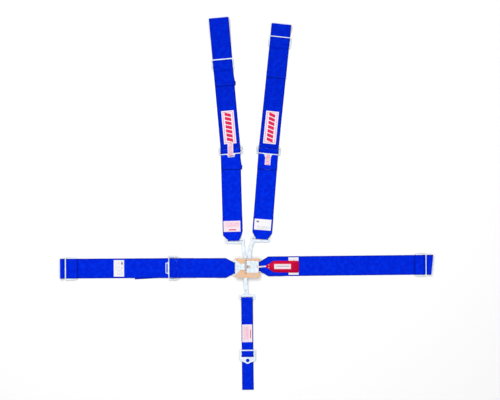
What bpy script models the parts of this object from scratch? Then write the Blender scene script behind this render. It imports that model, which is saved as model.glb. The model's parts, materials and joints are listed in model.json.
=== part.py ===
"""Five-point racing harness, laid out flat on its back: latch, two lap belts, two shoulder belts, crotch belt.

The origin is the middle of the latch base's underside. +X runs along the right lap belt, +Y runs towards
the shoulder belts, and +Z points up from the surface that the harness lies on.
"""

import math

import bmesh
import bpy
from mathutils import Matrix, Vector

MM = 0.001

# Webbing
BELT_WIDTH = 76.2 * MM
CROTCH_WIDTH = 44.8 * MM
WEB = 1.5 * MM
GAP = 0.3 * MM
LOW = WEB / 2                      # middle height of a layer that lies on the ground
HIGH = LOW + WEB + GAP             # middle height of a layer that lies on another
SEWN_TAIL = 80 * MM

# Steel plates and the bars that webbing is sewn on
PLATE = 2.4 * MM
BAR_WIDTH = 4 * MM
WRAP = 3.4 * MM                    # radius of the sewn wrap, at the middle of the webbing
BAR_Z = LOW + WRAP                 # middle height of the links' bars
FRAME_Z = 4.8 * MM                 # middle height of the slides and adjusters

# Latch
PIN = Vector((6 * MM, 5.5 * MM))
PIN_RADIUS = 4 * MM
EYE_RADIUS = 11 * MM
EYE_HOLE = 4.4 * MM
EYE_PITCH = PLATE + GAP
LEFT_EYE_Z = BAR_Z
RIGHT_EYE_Z = LEFT_EYE_Z + EYE_PITCH
CROTCH_EYE_Z = RIGHT_EYE_Z + EYE_PITCH
TONGUE_EYE_Z = CROTCH_EYE_Z + EYE_PITCH
COVER_BOTTOM = TONGUE_EYE_Z + PLATE / 2 + GAP
COVER_PLATE = 2 * MM
COVER_TOP = COVER_BOTTOM + COVER_PLATE
COVER_HALF = 37 * MM
STUD_RADIUS = 3.5 * MM

# Lever
HINGE_X = -4 * MM
KNUCKLE = 3 * MM
HINGE_Z = COVER_TOP + GAP + KNUCKLE
LEVER_HALF = 22.5 * MM
LEVER_PLATE = 2 * MM
LEVER_END = 44.4 * MM
LEVER_BEND = 20 * MM
LEVER_RISE = 2.4 * MM

# Places of the belts: start point, heading in degrees
RIGHT_LAP_BAR = Vector((50.05 * MM, 5.9 * MM))
LEFT_LAP_BAR = Vector((-51.2 * MM, 0))
LEFT_SHOULDER_BAR = Vector((-54 * MM, 108.8 * MM))
RIGHT_SHOULDER_BAR = Vector((57.1 * MM, 115.3 * MM))
CROTCH_BAR = Vector((0, -116.9 * MM))

RIGHT_LAP_LENGTH = 664 * MM
LEFT_INNER_LENGTH = 217.7 * MM
LEFT_OUTER_LENGTH = 451.8 * MM
LEFT_UPPER_LENGTH = 502 * MM
RIGHT_UPPER_LENGTH = 478 * MM
CROTCH_LENGTH = 353 * MM
LOOP_RADIUS = 5.5 * MM             # radius of the wrap loops, at the middle of the webbing

# Three-bar slides and adjusters
SLIDE_HALF = 21 * MM
SLIDE_WIDTH = 86 * MM
SIDE_RAIL = 4.4 * MM
SLIDE_CENTRE_BAR = 5 * MM
ADJUSTER_WIDTH = 92 * MM
LOCK_BAR_X = 9.3 * MM
LOCK_WRAP = 3.85 * MM
LOCK_BAR_WIDTH = 4 * MM
LOCK_BAR_THICK = 2 * MM
LAP_FRONT = 32.3 * MM
SHOULDER_FRONT = 25 * MM
LABEL = 0.5 * MM


def clear_scene():
    for old in list(bpy.data.objects):
        bpy.data.objects.remove(old, do_unlink=True)


clear_scene()
harness = bpy.data.collections.new("racing_harness")
cutters = bpy.data.collections.new("cutters")
bpy.context.scene.collection.children.link(harness)
bpy.context.scene.collection.children.link(cutters)


def material(name, colour, roughness, metallic=0.0):
    made = bpy.data.materials.new(name)
    made.use_nodes = True
    shader = made.node_tree.nodes["Principled BSDF"]
    shader.inputs["Base Color"].default_value = (*colour, 1)
    shader.inputs["Roughness"].default_value = roughness
    shader.inputs["Metallic"].default_value = metallic
    return made


BLUE = material("blue_webbing", (0.004, 0.022, 0.55), 0.8)
CHROME = material("chrome", (0.85, 0.87, 0.9), 0.15, 1)
STEEL = material("steel", (0.55, 0.56, 0.58), 0.35, 1)
ZINC = material("yellow_zinc", (0.86, 0.58, 0.36), 0.35, 0.8)
RED = material("red_vinyl", (0.75, 0.01, 0.03), 0.5)
WHITE = material("white_label", (0.9, 0.88, 0.9), 0.6)


class Line:
    """A belt's straight middle line on the ground. Its rows turn by skew degrees between two distances."""

    def __init__(self, start, heading, skew=0.0, skew_from=0.0, skew_to=0.001):
        self.start = start
        self.heading = math.radians(heading)
        self.skew = math.radians(skew)
        self.skew_from = skew_from
        self.skew_to = skew_to

    def turn(self, s):
        part = (s - self.skew_from) / (self.skew_to - self.skew_from)
        return self.heading + self.skew * min(max(part, 0), 1)

    def place(self, s, t, z):
        along = Vector((math.cos(self.heading), math.sin(self.heading)))
        turned = self.turn(s) + math.pi / 2
        across = Vector((math.cos(turned), math.sin(turned)))
        flat = self.start + s * along + t * across
        return Vector((flat.x, flat.y, z))

    def matrix(self, s, z=0.0):
        return Matrix.Translation(self.place(s, 0, z)) @ Matrix.Rotation(self.turn(s), 4, "Z")


class Body:
    """A moving body: its joint's empty, and the matrix that brings world points into it."""

    def __init__(self, name, matrix, parent=None):
        self.matrix = matrix
        self.empty = bpy.data.objects.new(name + "_axis", None)
        self.empty.empty_display_size = 0.02
        harness.objects.link(self.empty)
        if parent:
            self.empty.parent = parent.empty
            self.empty.matrix_local = parent.matrix.inverted() @ matrix
        else:
            self.empty.matrix_local = matrix

    def add(self, name, mesh, finish):
        """Give a mesh that is in world metres its object, with its origin on the joint's axis."""
        mesh.name = name
        mesh.transform(self.matrix.inverted())
        made = bpy.data.objects.new(name, mesh)
        made.parent = self.empty
        made.data.materials.append(finish)
        harness.objects.link(made)
        return made


def outline_mesh(outlines, bottom, top, matrix=None, folds=(), rise=None):
    """A flat plate from closed outlines, the first outside and the others its holes.

    folds are x or y lines, as (point, normal), where the plate is bent, and rise gives each point's lift.
    """
    curve = bpy.data.curves.new("outline", "CURVE")
    curve.dimensions = "2D"
    curve.fill_mode = "BOTH"
    curve.extrude = (top - bottom) / 2
    for outline in outlines:
        spline = curve.splines.new("POLY")
        spline.points.add(len(outline) - 1)
        for point, (x, y) in zip(spline.points, outline):
            point.co = (x, y, 0, 1)
        spline.use_cyclic_u = True
    holder = bpy.data.objects.new("outline", curve)
    cutters.objects.link(holder)
    depsgraph = bpy.context.evaluated_depsgraph_get()
    mesh = bpy.data.meshes.new_from_object(holder.evaluated_get(depsgraph))
    bpy.data.objects.remove(holder, do_unlink=True)
    bm = bmesh.new()
    bm.from_mesh(mesh)
    bmesh.ops.translate(bm, verts=bm.verts, vec=(0, 0, (top + bottom) / 2))
    bmesh.ops.remove_doubles(bm, verts=bm.verts, dist=0.00001)
    for point, normal in folds:
        parts = bm.verts[:] + bm.edges[:] + bm.faces[:]
        bmesh.ops.bisect_plane(bm, geom=parts, plane_co=point, plane_no=normal)
    if rise:
        for vert in bm.verts:
            vert.co.z += rise(vert.co.x, vert.co.y)
    bmesh.ops.recalc_face_normals(bm, faces=bm.faces)
    if matrix:
        bm.transform(matrix)
    bm.to_mesh(mesh)
    bm.free()
    return mesh


def circle(x, y, radius, count=20):
    turns = [2 * math.pi * i / count for i in range(count)]
    return [(x + radius * math.cos(a), y + radius * math.sin(a)) for a in turns]


def rectangle(x0, y0, x1, y1, corner=0.0):
    """A rectangle's outline, with its corners cut when corner is given."""
    if not corner:
        return [(x0, y0), (x1, y0), (x1, y1), (x0, y1)]
    c = corner
    return [(x0 + c, y0), (x1 - c, y0), (x1, y0 + c), (x1, y1 - c),
            (x1 - c, y1), (x0 + c, y1), (x0, y1 - c), (x0, y0 + c)]


def cylinder_mesh(radius, start, end, count=20):
    """A round rod between two points."""
    bm = bmesh.new()
    span = end - start
    turn = span.to_track_quat("Z", "Y").to_matrix().to_4x4()
    matrix = Matrix.Translation((start + end) / 2) @ turn
    bmesh.ops.create_cone(bm, cap_ends=True, segments=count, radius1=radius, radius2=radius,
                          depth=span.length, matrix=matrix)
    mesh = bpy.data.meshes.new("rod")
    bm.to_mesh(mesh)
    bm.free()
    return mesh


def bevel(piece, width):
    made = piece.modifiers.new("edges", "BEVEL")
    made.width = width
    made.segments = 1
    made.limit_method = "ANGLE"
    made.angle_limit = math.radians(60)
    return piece


def smoothstep(x):
    x = min(max(x, 0), 1)
    return x * x * (3 - 2 * x)


def ramp(start, end, count=6):
    """Points (s, z) of a smooth change of height, without its first point."""
    points = []
    for i in range(1, count + 1):
        part = i / count
        s = start[0] + (end[0] - start[0]) * part
        z = start[1] + (end[1] - start[1]) * smoothstep(part)
        points.append((s, z))
    return points


def arc(s, z, radius, first, last, count=8):
    """Points (s, z) round a bar, with angles in degrees from +s towards +z."""
    points = []
    for i in range(count + 1):
        a = math.radians(first + (last - first) * i / count)
        points.append((s + radius * math.cos(a), z + radius * math.sin(a)))
    return points


def webbing(body, name, line, path, width, edges=None, finish=BLUE, thickness=WEB):
    """A flat strap along (s, z) points: an open strip, made solid by its thickness.

    edges(s, i) gives the strap's two sides at a point, where they aren't half the width each way.
    """
    bm = bmesh.new()
    before = None
    for i, (s, z) in enumerate(path):
        right, left = edges(s, i) if edges else (-width / 2, width / 2)
        row = [bm.verts.new(line.place(s, right, z)), bm.verts.new(line.place(s, left, z))]
        if before:
            bm.faces.new((before[0], before[1], row[1], row[0]))
        before = row
    mesh = bpy.data.meshes.new(name)
    bm.to_mesh(mesh)
    bm.free()
    made = body.add(name, mesh, finish)
    solid = made.modifiers.new("thickness", "SOLIDIFY")
    solid.thickness = thickness
    solid.offset = 0
    solid.use_even_offset = True
    return made


def sewn_wrap(bar_z, direction=1, start=0.0, tail=SEWN_TAIL, down=22 * MM):
    """The path round a bar from the end of the sewn tail to the ground beyond it."""
    def at(s):
        return start + direction * s
    back, front = (-90, -270) if direction > 0 else (-90, 90)
    path = [(at(tail), LOW)]
    path += ramp((at(10 * MM), LOW), (at(0), bar_z - WRAP), 3)[:-1]
    path.insert(1, (at(10 * MM), LOW))
    path += arc(at(0), bar_z, WRAP, back, front)
    path += ramp((at(0), bar_z + WRAP), (at(down), HIGH), 6)
    path += [(at(tail + 2 * MM), HIGH)]
    path += ramp((at(tail + 2 * MM), HIGH), (at(tail + 20 * MM), LOW), 5)
    return path


def slide_path(centre, end, tail):
    """The path up through a slide, round the wrap loop, back through the slide and out to the tail."""
    path = [(centre - 24 * MM, LOW), (centre - 14 * MM, LOW)]
    path += ramp(path[-1], (centre - 5 * MM, FRAME_Z + PLATE / 2 + GAP + WEB / 2), 4)
    path += [(centre + 5 * MM, path[-1][1])]
    path += ramp(path[-1], (centre + 14 * MM, LOW), 4)
    turn = end - LOOP_RADIUS - WEB / 2
    path += arc(turn, LOW + LOOP_RADIUS, LOOP_RADIUS, -90, 90)
    path += ramp((turn, path[-1][1]), (centre + SLIDE_HALF + GAP, HIGH), 6)
    path += [(centre + 16.4 * MM, HIGH)]
    over = FRAME_Z + PLATE / 2 + GAP + WEB / 2
    path += ramp(path[-1], (centre + 6.4 * MM, over + WEB + GAP), 4)
    path += [(centre - 6.4 * MM, path[-1][1])]
    path += ramp(path[-1], (centre - 13 * MM, over), 2)
    path += [(centre - SLIDE_HALF - GAP, over)]
    if tail > 40 * MM:
        path += ramp(path[-1], (centre - SLIDE_HALF - 16 * MM, HIGH), 5)
        path += [(centre - tail, HIGH)]
    else:
        path += ramp(path[-1], (centre - tail, over - 1.2 * MM), 2)
    return path


def slide(body, name, line, centre):
    """A three-bar slide, stamped from plate."""
    half = SLIDE_WIDTH / 2
    inner = half - SIDE_RAIL
    middle = SLIDE_CENTRE_BAR / 2
    end = SLIDE_HALF - BAR_WIDTH
    outlines = [rectangle(-SLIDE_HALF, -half, SLIDE_HALF, half, 2.5 * MM),
                rectangle(middle, -inner, end, inner),
                rectangle(-end, -inner, -middle, inner)]
    mesh = outline_mesh(outlines, FRAME_Z - PLATE / 2, FRAME_Z + PLATE / 2, line.matrix(centre))
    return bevel(body.add(name, mesh, CHROME), 0.5 * MM)


def adjuster_matrix(line, bar_s, direction, a=0.0, z=0.0):
    """A place in an adjuster's own frame, a along it from the sewn bar towards the front bar."""
    matrix = line.matrix(bar_s, z)
    if direction < 0:
        matrix = matrix @ Matrix.Rotation(math.pi, 4, "Z")
    return matrix @ Matrix.Translation((a, 0, 0))


def adjuster(body, name, line, bar_s, direction, front, lug_half):
    """An adjuster frame: the bar that one strap is sewn on, two rails, and a front bar with its lift lug."""
    half = ADJUSTER_WIDTH / 2
    inner = half - SIDE_RAIL
    bar = BAR_WIDTH / 2
    lug = 11 * MM
    nose = front + bar
    outer = [(-bar, -half + 2 * MM), (0, -half), (nose - 2 * MM, -half), (nose, -half + 2 * MM),
             (nose, -lug_half - 5 * MM), (nose + 3 * MM, -lug_half), (nose + lug - 2 * MM, -lug_half),
             (nose + lug, -lug_half + 2 * MM), (nose + lug, lug_half - 2 * MM),
             (nose + lug - 2 * MM, lug_half), (nose + 3 * MM, lug_half), (nose, lug_half + 5 * MM),
             (nose, half - 2 * MM), (nose - 2 * MM, half), (0, half), (-bar, half - 2 * MM)]
    window = rectangle(bar, -inner, front - bar, inner)
    slot = rectangle(nose + 2.5 * MM, -lug_half + 3.5 * MM, nose + 7.5 * MM, lug_half - 3.5 * MM)
    matrix = adjuster_matrix(line, bar_s, direction)
    mesh = outline_mesh([outer, window, slot], FRAME_Z - PLATE / 2, FRAME_Z + PLATE / 2, matrix)
    return bevel(body.add(name, mesh, CHROME), 0.5 * MM)


def lock_bar(body, name, line, bar_s, direction):
    """The bar that the strap is wound on. Its two ends lie on the frame's rails."""
    rail = ADJUSTER_WIDTH / 2 - SIDE_RAIL
    low = FRAME_Z - LOCK_BAR_THICK / 2
    high = FRAME_Z + LOCK_BAR_THICK / 2
    rest = FRAME_Z + PLATE / 2 + GAP
    tip = rail + 3.4 * MM
    half = [(rail - 0.4 * MM, low), (rail - 0.4 * MM, rest), (tip, rest), (tip, rest + 1.6 * MM),
            (rail - 2.2 * MM, rest + 1.6 * MM), (rail - 2.2 * MM, high)]
    outline = half + [(-y, z) for y, z in reversed(half)]
    across = Matrix(((0, 0, 1, 0), (1, 0, 0, 0), (0, 1, 0, 0), (0, 0, 0, 1)))
    matrix = adjuster_matrix(line, bar_s, direction, LOCK_BAR_X) @ across
    mesh = outline_mesh([outline], -LOCK_BAR_WIDTH / 2, LOCK_BAR_WIDTH / 2, matrix)
    return body.add(name, mesh, STEEL)


def lock_path(bar_s, direction, front, tail, tail_on_top, far):
    """The path of the strap that the adjuster holds, from far away, round the lock bar, to its tail's end."""
    def at(a):
        return bar_s + direction * a
    under = front - BAR_WIDTH / 2 - 2.5 * MM
    clear = LOCK_BAR_X + LOCK_BAR_WIDTH / 2 + 2.9 * MM
    low_side = [(at(under), LOW), (at(LOCK_BAR_X), FRAME_Z - LOCK_WRAP)]
    high_side = [(at(LOCK_BAR_X), FRAME_Z + LOCK_WRAP), (at(clear), FRAME_Z + LOCK_WRAP)]
    high_side += ramp(high_side[-1], (at(under), HIGH), 5)
    turn = arc(at(LOCK_BAR_X), FRAME_Z, LOCK_WRAP, -90, -270 if direction > 0 else 90)[1:-1]
    if tail_on_top:
        return [(far, LOW)] + low_side + turn + high_side + [(at(under + tail), HIGH)]
    upper = [(far, LOW)] + ramp((at(under + tail + 26 * MM), LOW), (at(under + tail + 3 * MM), HIGH), 5)
    upper += list(reversed(high_side))
    return upper + list(reversed(turn)) + list(reversed(low_side)) + [(at(under + tail), LOW)]


def ribbon(body, name, line, bar_s, direction, path):
    """A narrow pull ribbon on an adjuster's lug. path is (a, z) from the sewn bar."""
    points = [(bar_s + direction * a, z) for a, z in path]
    return webbing(body, name, line, points, 21.6 * MM, finish=WHITE, thickness=0.8 * MM)


def label(body, name, line, s0, s1, t0, t1, z, thickness=LABEL):
    outline = [(s0, t0), (s1, t0), (s1, t1), (s0, t1)]
    matrix = Matrix.Translation(line.start.to_3d()) @ Matrix.Rotation(line.heading, 4, "Z")
    mesh = outline_mesh([outline], z, z + thickness, matrix)
    return body.add(name, mesh, WHITE)


def tapered(points):
    """Sides of a strap whose corners are folded in at its sewn end: (s, right, left) rows."""
    def edges(s, i):
        for (s0, r0, l0), (s1, r1, l1) in zip(points, points[1:]):
            if s <= s1:
                part = min(max((s - s0) / (s1 - s0), 0), 1)
                return -(r0 + (r1 - r0) * part), l0 + (l1 - l0) * part
        return -points[-1][1], points[-1][2]
    return edges


HALF = BELT_WIDTH / 2


# Latch ---------------------------------------------------------------------------------------------------

latch = Body("latch", Matrix.Identity(4))


def latch_base():
    """The lower plate. Its right end is bent up to carry the bar that the right lap belt is sewn on."""
    end = RIGHT_LAP_BAR.x + BAR_WIDTH / 2
    slot_end = RIGHT_LAP_BAR.x - BAR_WIDTH / 2
    middle = RIGHT_LAP_BAR.y
    outer = [(-28 * MM, -34 * MM), (36 * MM, -34 * MM), (42 * MM, middle - 30 * MM),
             (end, middle - 30 * MM), (end, middle + 30 * MM), (42 * MM, middle + 30 * MM),
             (36 * MM, 36 * MM), (-28 * MM, 36 * MM)]
    slot = rectangle(44.4 * MM, middle - 24 * MM, slot_end, middle + 24 * MM)
    start, stop = 36 * MM, 42 * MM
    lift = BAR_Z - PLATE / 2
    folds = [((start, 0, 0), (1, 0, 0)), ((stop, 0, 0), (1, 0, 0))]
    mesh = outline_mesh([outer, slot], 0, PLATE, None, folds,
                        lambda x, y: lift * min(max((x - start) / (stop - start), 0), 1))
    return latch.add("latch_base", mesh, STEEL)


def latch_cover():
    """The yellow-zinc plate on top. Its left end is a fish tail, open for the tongue."""
    half = COVER_HALF
    notch_top, notch_bottom = 17.9 * MM, -7.7 * MM
    outer = [(-46.3 * MM, half), (-46.3 * MM, half - 4 * MM), (-27 * MM, notch_top),
             (-9.5 * MM, notch_top), (-9.5 * MM, notch_bottom), (-26 * MM, notch_bottom),
             (-46.3 * MM, -half + 8 * MM), (-46.3 * MM, -half),
             (45 * MM, -half), (49.5 * MM, -half + 5 * MM), (49 * MM, PIN.y - 23 * MM),
             (45.2 * MM, PIN.y - 23 * MM), (45.2 * MM, PIN.y + 23 * MM), (49 * MM, PIN.y + 23 * MM),
             (49.5 * MM, half)]
    mesh = outline_mesh([outer, circle(PIN.x, PIN.y, PIN_RADIUS + 0.6 * MM)], COVER_BOTTOM, COVER_TOP)
    return latch.add("latch_cover", mesh, ZINC)


def hinge_ear(name, y0, y1):
    """One of the two ears that carry the lever's hinge pin. They stand on the cover."""
    outer = [(-KNUCKLE, COVER_TOP + GAP), (KNUCKLE, COVER_TOP + GAP)]
    outer += [(KNUCKLE * math.cos(a), HINGE_Z + KNUCKLE * math.sin(a))
              for a in (math.pi * i / 8 for i in range(9))]
    upright = Matrix(((1, 0, 0, HINGE_X), (0, 0, 1, 0), (0, 1, 0, 0), (0, 0, 0, 1)))
    mesh = outline_mesh([outer, circle(0, HINGE_Z, 1.9 * MM, 16)], y0, y1, upright)
    mesh.flip_normals()
    return latch.add(name, mesh, ZINC)


def studs():
    for side, y in (("top", 30 * MM), ("bottom", -29 * MM)):
        for end, x in (("left", -22 * MM), ("right", 31 * MM)):
            mesh = cylinder_mesh(STUD_RADIUS, Vector((x, y, PLATE + GAP)), Vector((x, y, COVER_BOTTOM - GAP)))
            latch.add(f"cover_stud_{side}_{end}", mesh, STEEL)


latch_base()
latch_cover()
studs()
hinge_ear("hinge_ear_top", PIN.y + LEVER_HALF + GAP, PIN.y + LEVER_HALF + 2.8 * MM)
hinge_ear("hinge_ear_bottom", PIN.y - LEVER_HALF - 2.8 * MM, PIN.y - LEVER_HALF - GAP)

lever_body = Body("lever", Matrix.Translation((HINGE_X, PIN.y, HINGE_Z)), latch)
pin_body = Body("lock_pin", Matrix.Translation((PIN.x, PIN.y, 0)), latch)


def lever():
    """The lever: a plate with a window over the lock pin, rolled round the hinge pin at its left end."""
    bottom = HINGE_Z - KNUCKLE
    x0 = HINGE_X + 1.75 * MM
    plate = [(x0, PIN.y - LEVER_HALF), (LEVER_END - 3 * MM, PIN.y - LEVER_HALF),
             (LEVER_END, PIN.y - LEVER_HALF + 3 * MM), (LEVER_END, PIN.y + LEVER_HALF - 3 * MM),
             (LEVER_END - 3 * MM, PIN.y + LEVER_HALF), (x0, PIN.y + LEVER_HALF)]
    window = rectangle(0, PIN.y - 6 * MM, 12.5 * MM, PIN.y + 6 * MM, 2 * MM)
    slot = rectangle(36.2 * MM, PIN.y - 5.5 * MM, 41.2 * MM, PIN.y + 5.5 * MM)
    folds = [((LEVER_BEND, 0, 0), (1, 0, 0))]
    mesh = outline_mesh([plate, window, slot], bottom, bottom + LEVER_PLATE, None, folds,
                        lambda x, y: LEVER_RISE * max(x - LEVER_BEND, 0) / (LEVER_END - LEVER_BEND))
    made = lever_body.add("lever", mesh, CHROME)
    ring = [circle(0, HINGE_Z, KNUCKLE), circle(0, HINGE_Z, 1.9 * MM, 16)]
    upright = Matrix(((1, 0, 0, HINGE_X), (0, 0, 1, 0), (0, 1, 0, 0), (0, 0, 0, 1)))
    knuckle_mesh = outline_mesh(ring, PIN.y - LEVER_HALF, PIN.y + LEVER_HALF, upright)
    knuckle_mesh.flip_normals()
    knuckle = bpy.data.objects.new("knuckle_cutter", knuckle_mesh)
    cutters.objects.link(knuckle)
    knuckle.hide_render = True
    knuckle.display_type = "WIRE"
    join = made.modifiers.new("knuckle", "BOOLEAN")
    join.operation = "UNION"
    join.object = knuckle
    return made


def leaf_spring():
    """The leaf under the lever's free end, which keeps it from rattling."""
    outline = rectangle(28 * MM, PIN.y - 8 * MM, 38.5 * MM, PIN.y + 8 * MM, 1.5 * MM)
    bottom = COVER_TOP + GAP
    return latch.add("leaf_spring", outline_mesh([outline], bottom, bottom + 0.6 * MM), STEEL)


leaf_spring()
lever()
hinge_pin = cylinder_mesh(1.5 * MM, Vector((HINGE_X, PIN.y - LEVER_HALF - 4 * MM, HINGE_Z)),
                          Vector((HINGE_X, PIN.y + LEVER_HALF + 4 * MM, HINGE_Z)))
latch.add("hinge_pin", hinge_pin, STEEL)
lock_pin = cylinder_mesh(PIN_RADIUS, Vector((PIN.x, PIN.y, PLATE + GAP)), Vector((PIN.x, PIN.y, COVER_TOP - GAP)))
bevel(pin_body.add("lock_pin", lock_pin, STEEL), 0.6 * MM)

# Pull strip and red tab ----------------------------------------------------------------------------------

TAB_START = 73.3 * MM
TAB_END = 200 * MM
TAB_Y = 6.5 * MM
TAB_BOTTOM = HIGH + WEB / 2 + GAP
PULL_X = 42.8 * MM
PULL_Z = HINGE_Z - KNUCKLE + LEVER_PLATE / 2 + LEVER_RISE * (PULL_X - LEVER_BEND) / (LEVER_END - LEVER_BEND)
pull_body = Body("pull_tab", Matrix.Translation((PULL_X, PIN.y, PULL_Z)), lever_body)


def pull_strip():
    line = Line(Vector((PULL_X, PIN.y)), 0.5)
    path = [(13 * MM, PULL_Z - 3.4 * MM)]
    path += arc(0, PULL_Z, 2.4 * MM, -100, -270, 8)
    path += ramp((0, PULL_Z + 2.4 * MM), (TAB_START - PULL_X - 0.3 * MM, TAB_BOTTOM + 1.2 * MM), 8)
    return webbing(pull_body, "pull_strip", line, path, 5.8 * MM, finish=WHITE, thickness=0.8 * MM)


def pull_tab():
    y = TAB_Y
    outline = [(TAB_START, y - 3 * MM), (TAB_START + 30 * MM, y - 22.5 * MM), (TAB_END, y - 24 * MM),
               (TAB_END, y + 21.5 * MM), (TAB_START + 30 * MM, y + 21.5 * MM), (TAB_START, y + 3 * MM)]
    mesh = outline_mesh([outline], TAB_BOTTOM, TAB_BOTTOM + 2.2 * MM)
    pull_body.add("pull_tab", mesh, RED)
    face = rectangle(105 * MM, y - 10.5 * MM, 169 * MM, y + 9.5 * MM)
    top = TAB_BOTTOM + 2.2 * MM + GAP
    pull_body.add("pull_tab_label", outline_mesh([face], top, top + LABEL), WHITE)


pull_strip()
pull_tab()

# Lap belts -----------------------------------------------------------------------------------------------

tongue_body = Body("tongue", Matrix.Translation((PIN.x, PIN.y, 0)), latch)


def lap_tongue():
    """The left lap belt's tongue: a slotted bar, and a neck bent up to the lock pin."""
    slot_x = LEFT_LAP_BAR.x + BAR_WIDTH / 2
    left = LEFT_LAP_BAR.x - BAR_WIDTH / 2
    outer = [(left, -29.5 * MM), (-38 * MM, -29.5 * MM), (-25 * MM, PIN.y - 12 * MM), (PIN.x, PIN.y - 12 * MM)]
    outer += [(PIN.x + 12 * MM * math.cos(a), PIN.y + 12 * MM * math.sin(a))
              for a in (math.pi * (i / 10 - 0.5) for i in range(1, 10))]
    outer += [(PIN.x, PIN.y + 12 * MM), (-25 * MM, PIN.y + 12 * MM), (-38 * MM, 29.5 * MM), (left, 29.5 * MM)]
    slot = rectangle(slot_x, -24 * MM, -45 * MM, 24 * MM)
    start, stop = -42 * MM, -20 * MM
    drop = TONGUE_EYE_Z - BAR_Z
    folds = [((start, 0, 0), (1, 0, 0)), ((stop, 0, 0), (1, 0, 0))]
    mesh = outline_mesh([outer, slot, circle(PIN.x, PIN.y, EYE_HOLE)], BAR_Z - PLATE / 2, BAR_Z + PLATE / 2,
                        None, folds, lambda x, y: drop * min(max((x - start) / (stop - start), 0), 1))
    return tongue_body.add("lap_tongue", mesh, CHROME)


lap_tongue()

right_line = Line(RIGHT_LAP_BAR, 0.6, -6, 645 * MM, 664 * MM)
left_inner_line = Line(LEFT_LAP_BAR, 180)
right_lap = Body("right_lap", right_line.matrix(0, BAR_Z), latch)
left_lap = Body("left_lap", left_inner_line.matrix(0, BAR_Z), tongue_body)


def right_lap_belt():
    centre = 621 * MM
    path = sewn_wrap(BAR_Z) + slide_path(centre, RIGHT_LAP_LENGTH, 25 * MM)
    corners = tapered([(0, 18.4 * MM, 18.4 * MM), (32 * MM, HALF, HALF)])
    webbing(right_lap, "right_lap_webbing", right_line, path, BELT_WIDTH, corners)
    slide(right_lap, "right_lap_slide", right_line, centre)
    label(right_lap, "right_lap_label", right_line, 110 * MM, 149 * MM, -33.5 * MM, 34 * MM, WEB + GAP)


def left_inner_belt():
    far = LEFT_INNER_LENGTH
    path = sewn_wrap(BAR_Z, 1, 0, 60 * MM)
    path += list(reversed(sewn_wrap(FRAME_Z, -1, far, 60 * MM)))
    corners = tapered([(0, 22 * MM, 22 * MM), (30 * MM, HALF, HALF)])
    return webbing(left_lap, "left_lap_inner_webbing", left_inner_line, path, BELT_WIDTH, corners)


right_lap_belt()
left_inner_belt()

left_outer_line = Line(Vector((LEFT_LAP_BAR.x - LEFT_INNER_LENGTH, 0)), 180.34)
left_outer = Body("left_lap_outer", left_outer_line.matrix(0, FRAME_Z), left_lap)
left_lock = Body("left_lap_lock", adjuster_matrix(left_outer_line, 0, 1, LOCK_BAR_X, FRAME_Z), left_outer)


def left_outer_belt():
    centre = 412 * MM
    held = lock_path(0, 1, LAP_FRONT, 136 * MM, False, centre - 24 * MM)
    path = list(reversed(held))
    path += slide_path(centre, LEFT_OUTER_LENGTH, 28 * MM)[1:]
    webbing(left_outer, "left_lap_outer_webbing", left_outer_line, path, BELT_WIDTH)
    adjuster(left_outer, "left_lap_adjuster", left_outer_line, 0, 1, LAP_FRONT, 21 * MM)
    lock_bar(left_lock, "left_lap_lock_bar", left_outer_line, 0, 1)
    slide(left_outer, "left_lap_slide", left_outer_line, centre)
    label(left_outer, "left_lap_label", left_outer_line, 205 * MM, 245 * MM, -32 * MM, 32 * MM, WEB + GAP)


left_outer_belt()

# Shoulder belts ------------------------------------------------------------------------------------------


def link(body, name, line, eye_z, arm, arm_half, frame, bend, hole=None):
    """An end link: a slotted bar, an arm, and an eye on the lock pin. Points are in the bar's own frame."""
    matrix = Matrix.Translation(line.start.to_3d()) @ Matrix.Rotation(line.heading, 4, "Z")
    eye = matrix.inverted() @ Vector((PIN.x, PIN.y, 0))
    right, left, depth = frame
    route = [Vector(point) for point in arm] + [eye.to_2d()]
    sides = ([], [])
    for here, after in zip(route, route[1:]):
        along = (after - here).normalized()
        across = Vector((-along.y, along.x)) * arm_half
        sides[0].append(here + across)
        sides[1].append(here - across)
    last = (route[-1] - route[-2]).normalized()
    first = math.atan2(last.y, last.x)
    open_angle = math.pi - math.asin(arm_half / EYE_RADIUS)
    turns = [first + open_angle - 2 * open_angle * i / 16 for i in range(17)]
    round_eye = [(eye.x + EYE_RADIUS * math.cos(a), eye.y + EYE_RADIUS * math.sin(a)) for a in turns]
    top = BAR_WIDTH / 2
    outer = [(top, left), (top, -right), (-depth, -right)]
    outer += [tuple(p) for p in sides[0]] + round_eye + [tuple(p) for p in reversed(sides[1])]
    outer += [(-depth, left)]
    slot = rectangle(-top - 5 * MM, -right + 5.2 * MM, -top, left - 5.2 * MM)
    start, stop = bend
    rise = eye_z - BAR_Z
    folds = [((start, 0, 0), (1, 0, 0)), ((stop, 0, 0), (1, 0, 0))]
    outlines = [outer, slot, circle(eye.x, eye.y, EYE_HOLE)]
    if hole:
        outlines.append(circle(*hole, 12))
    mesh = outline_mesh(outlines, BAR_Z - PLATE / 2, BAR_Z + PLATE / 2, None, folds,
                        lambda x, y: rise * min(max((x - start) / (stop - start), 0), 1))
    mesh.transform(matrix)
    return bevel(body.add(name, mesh, CHROME), 0.4 * MM)


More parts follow.
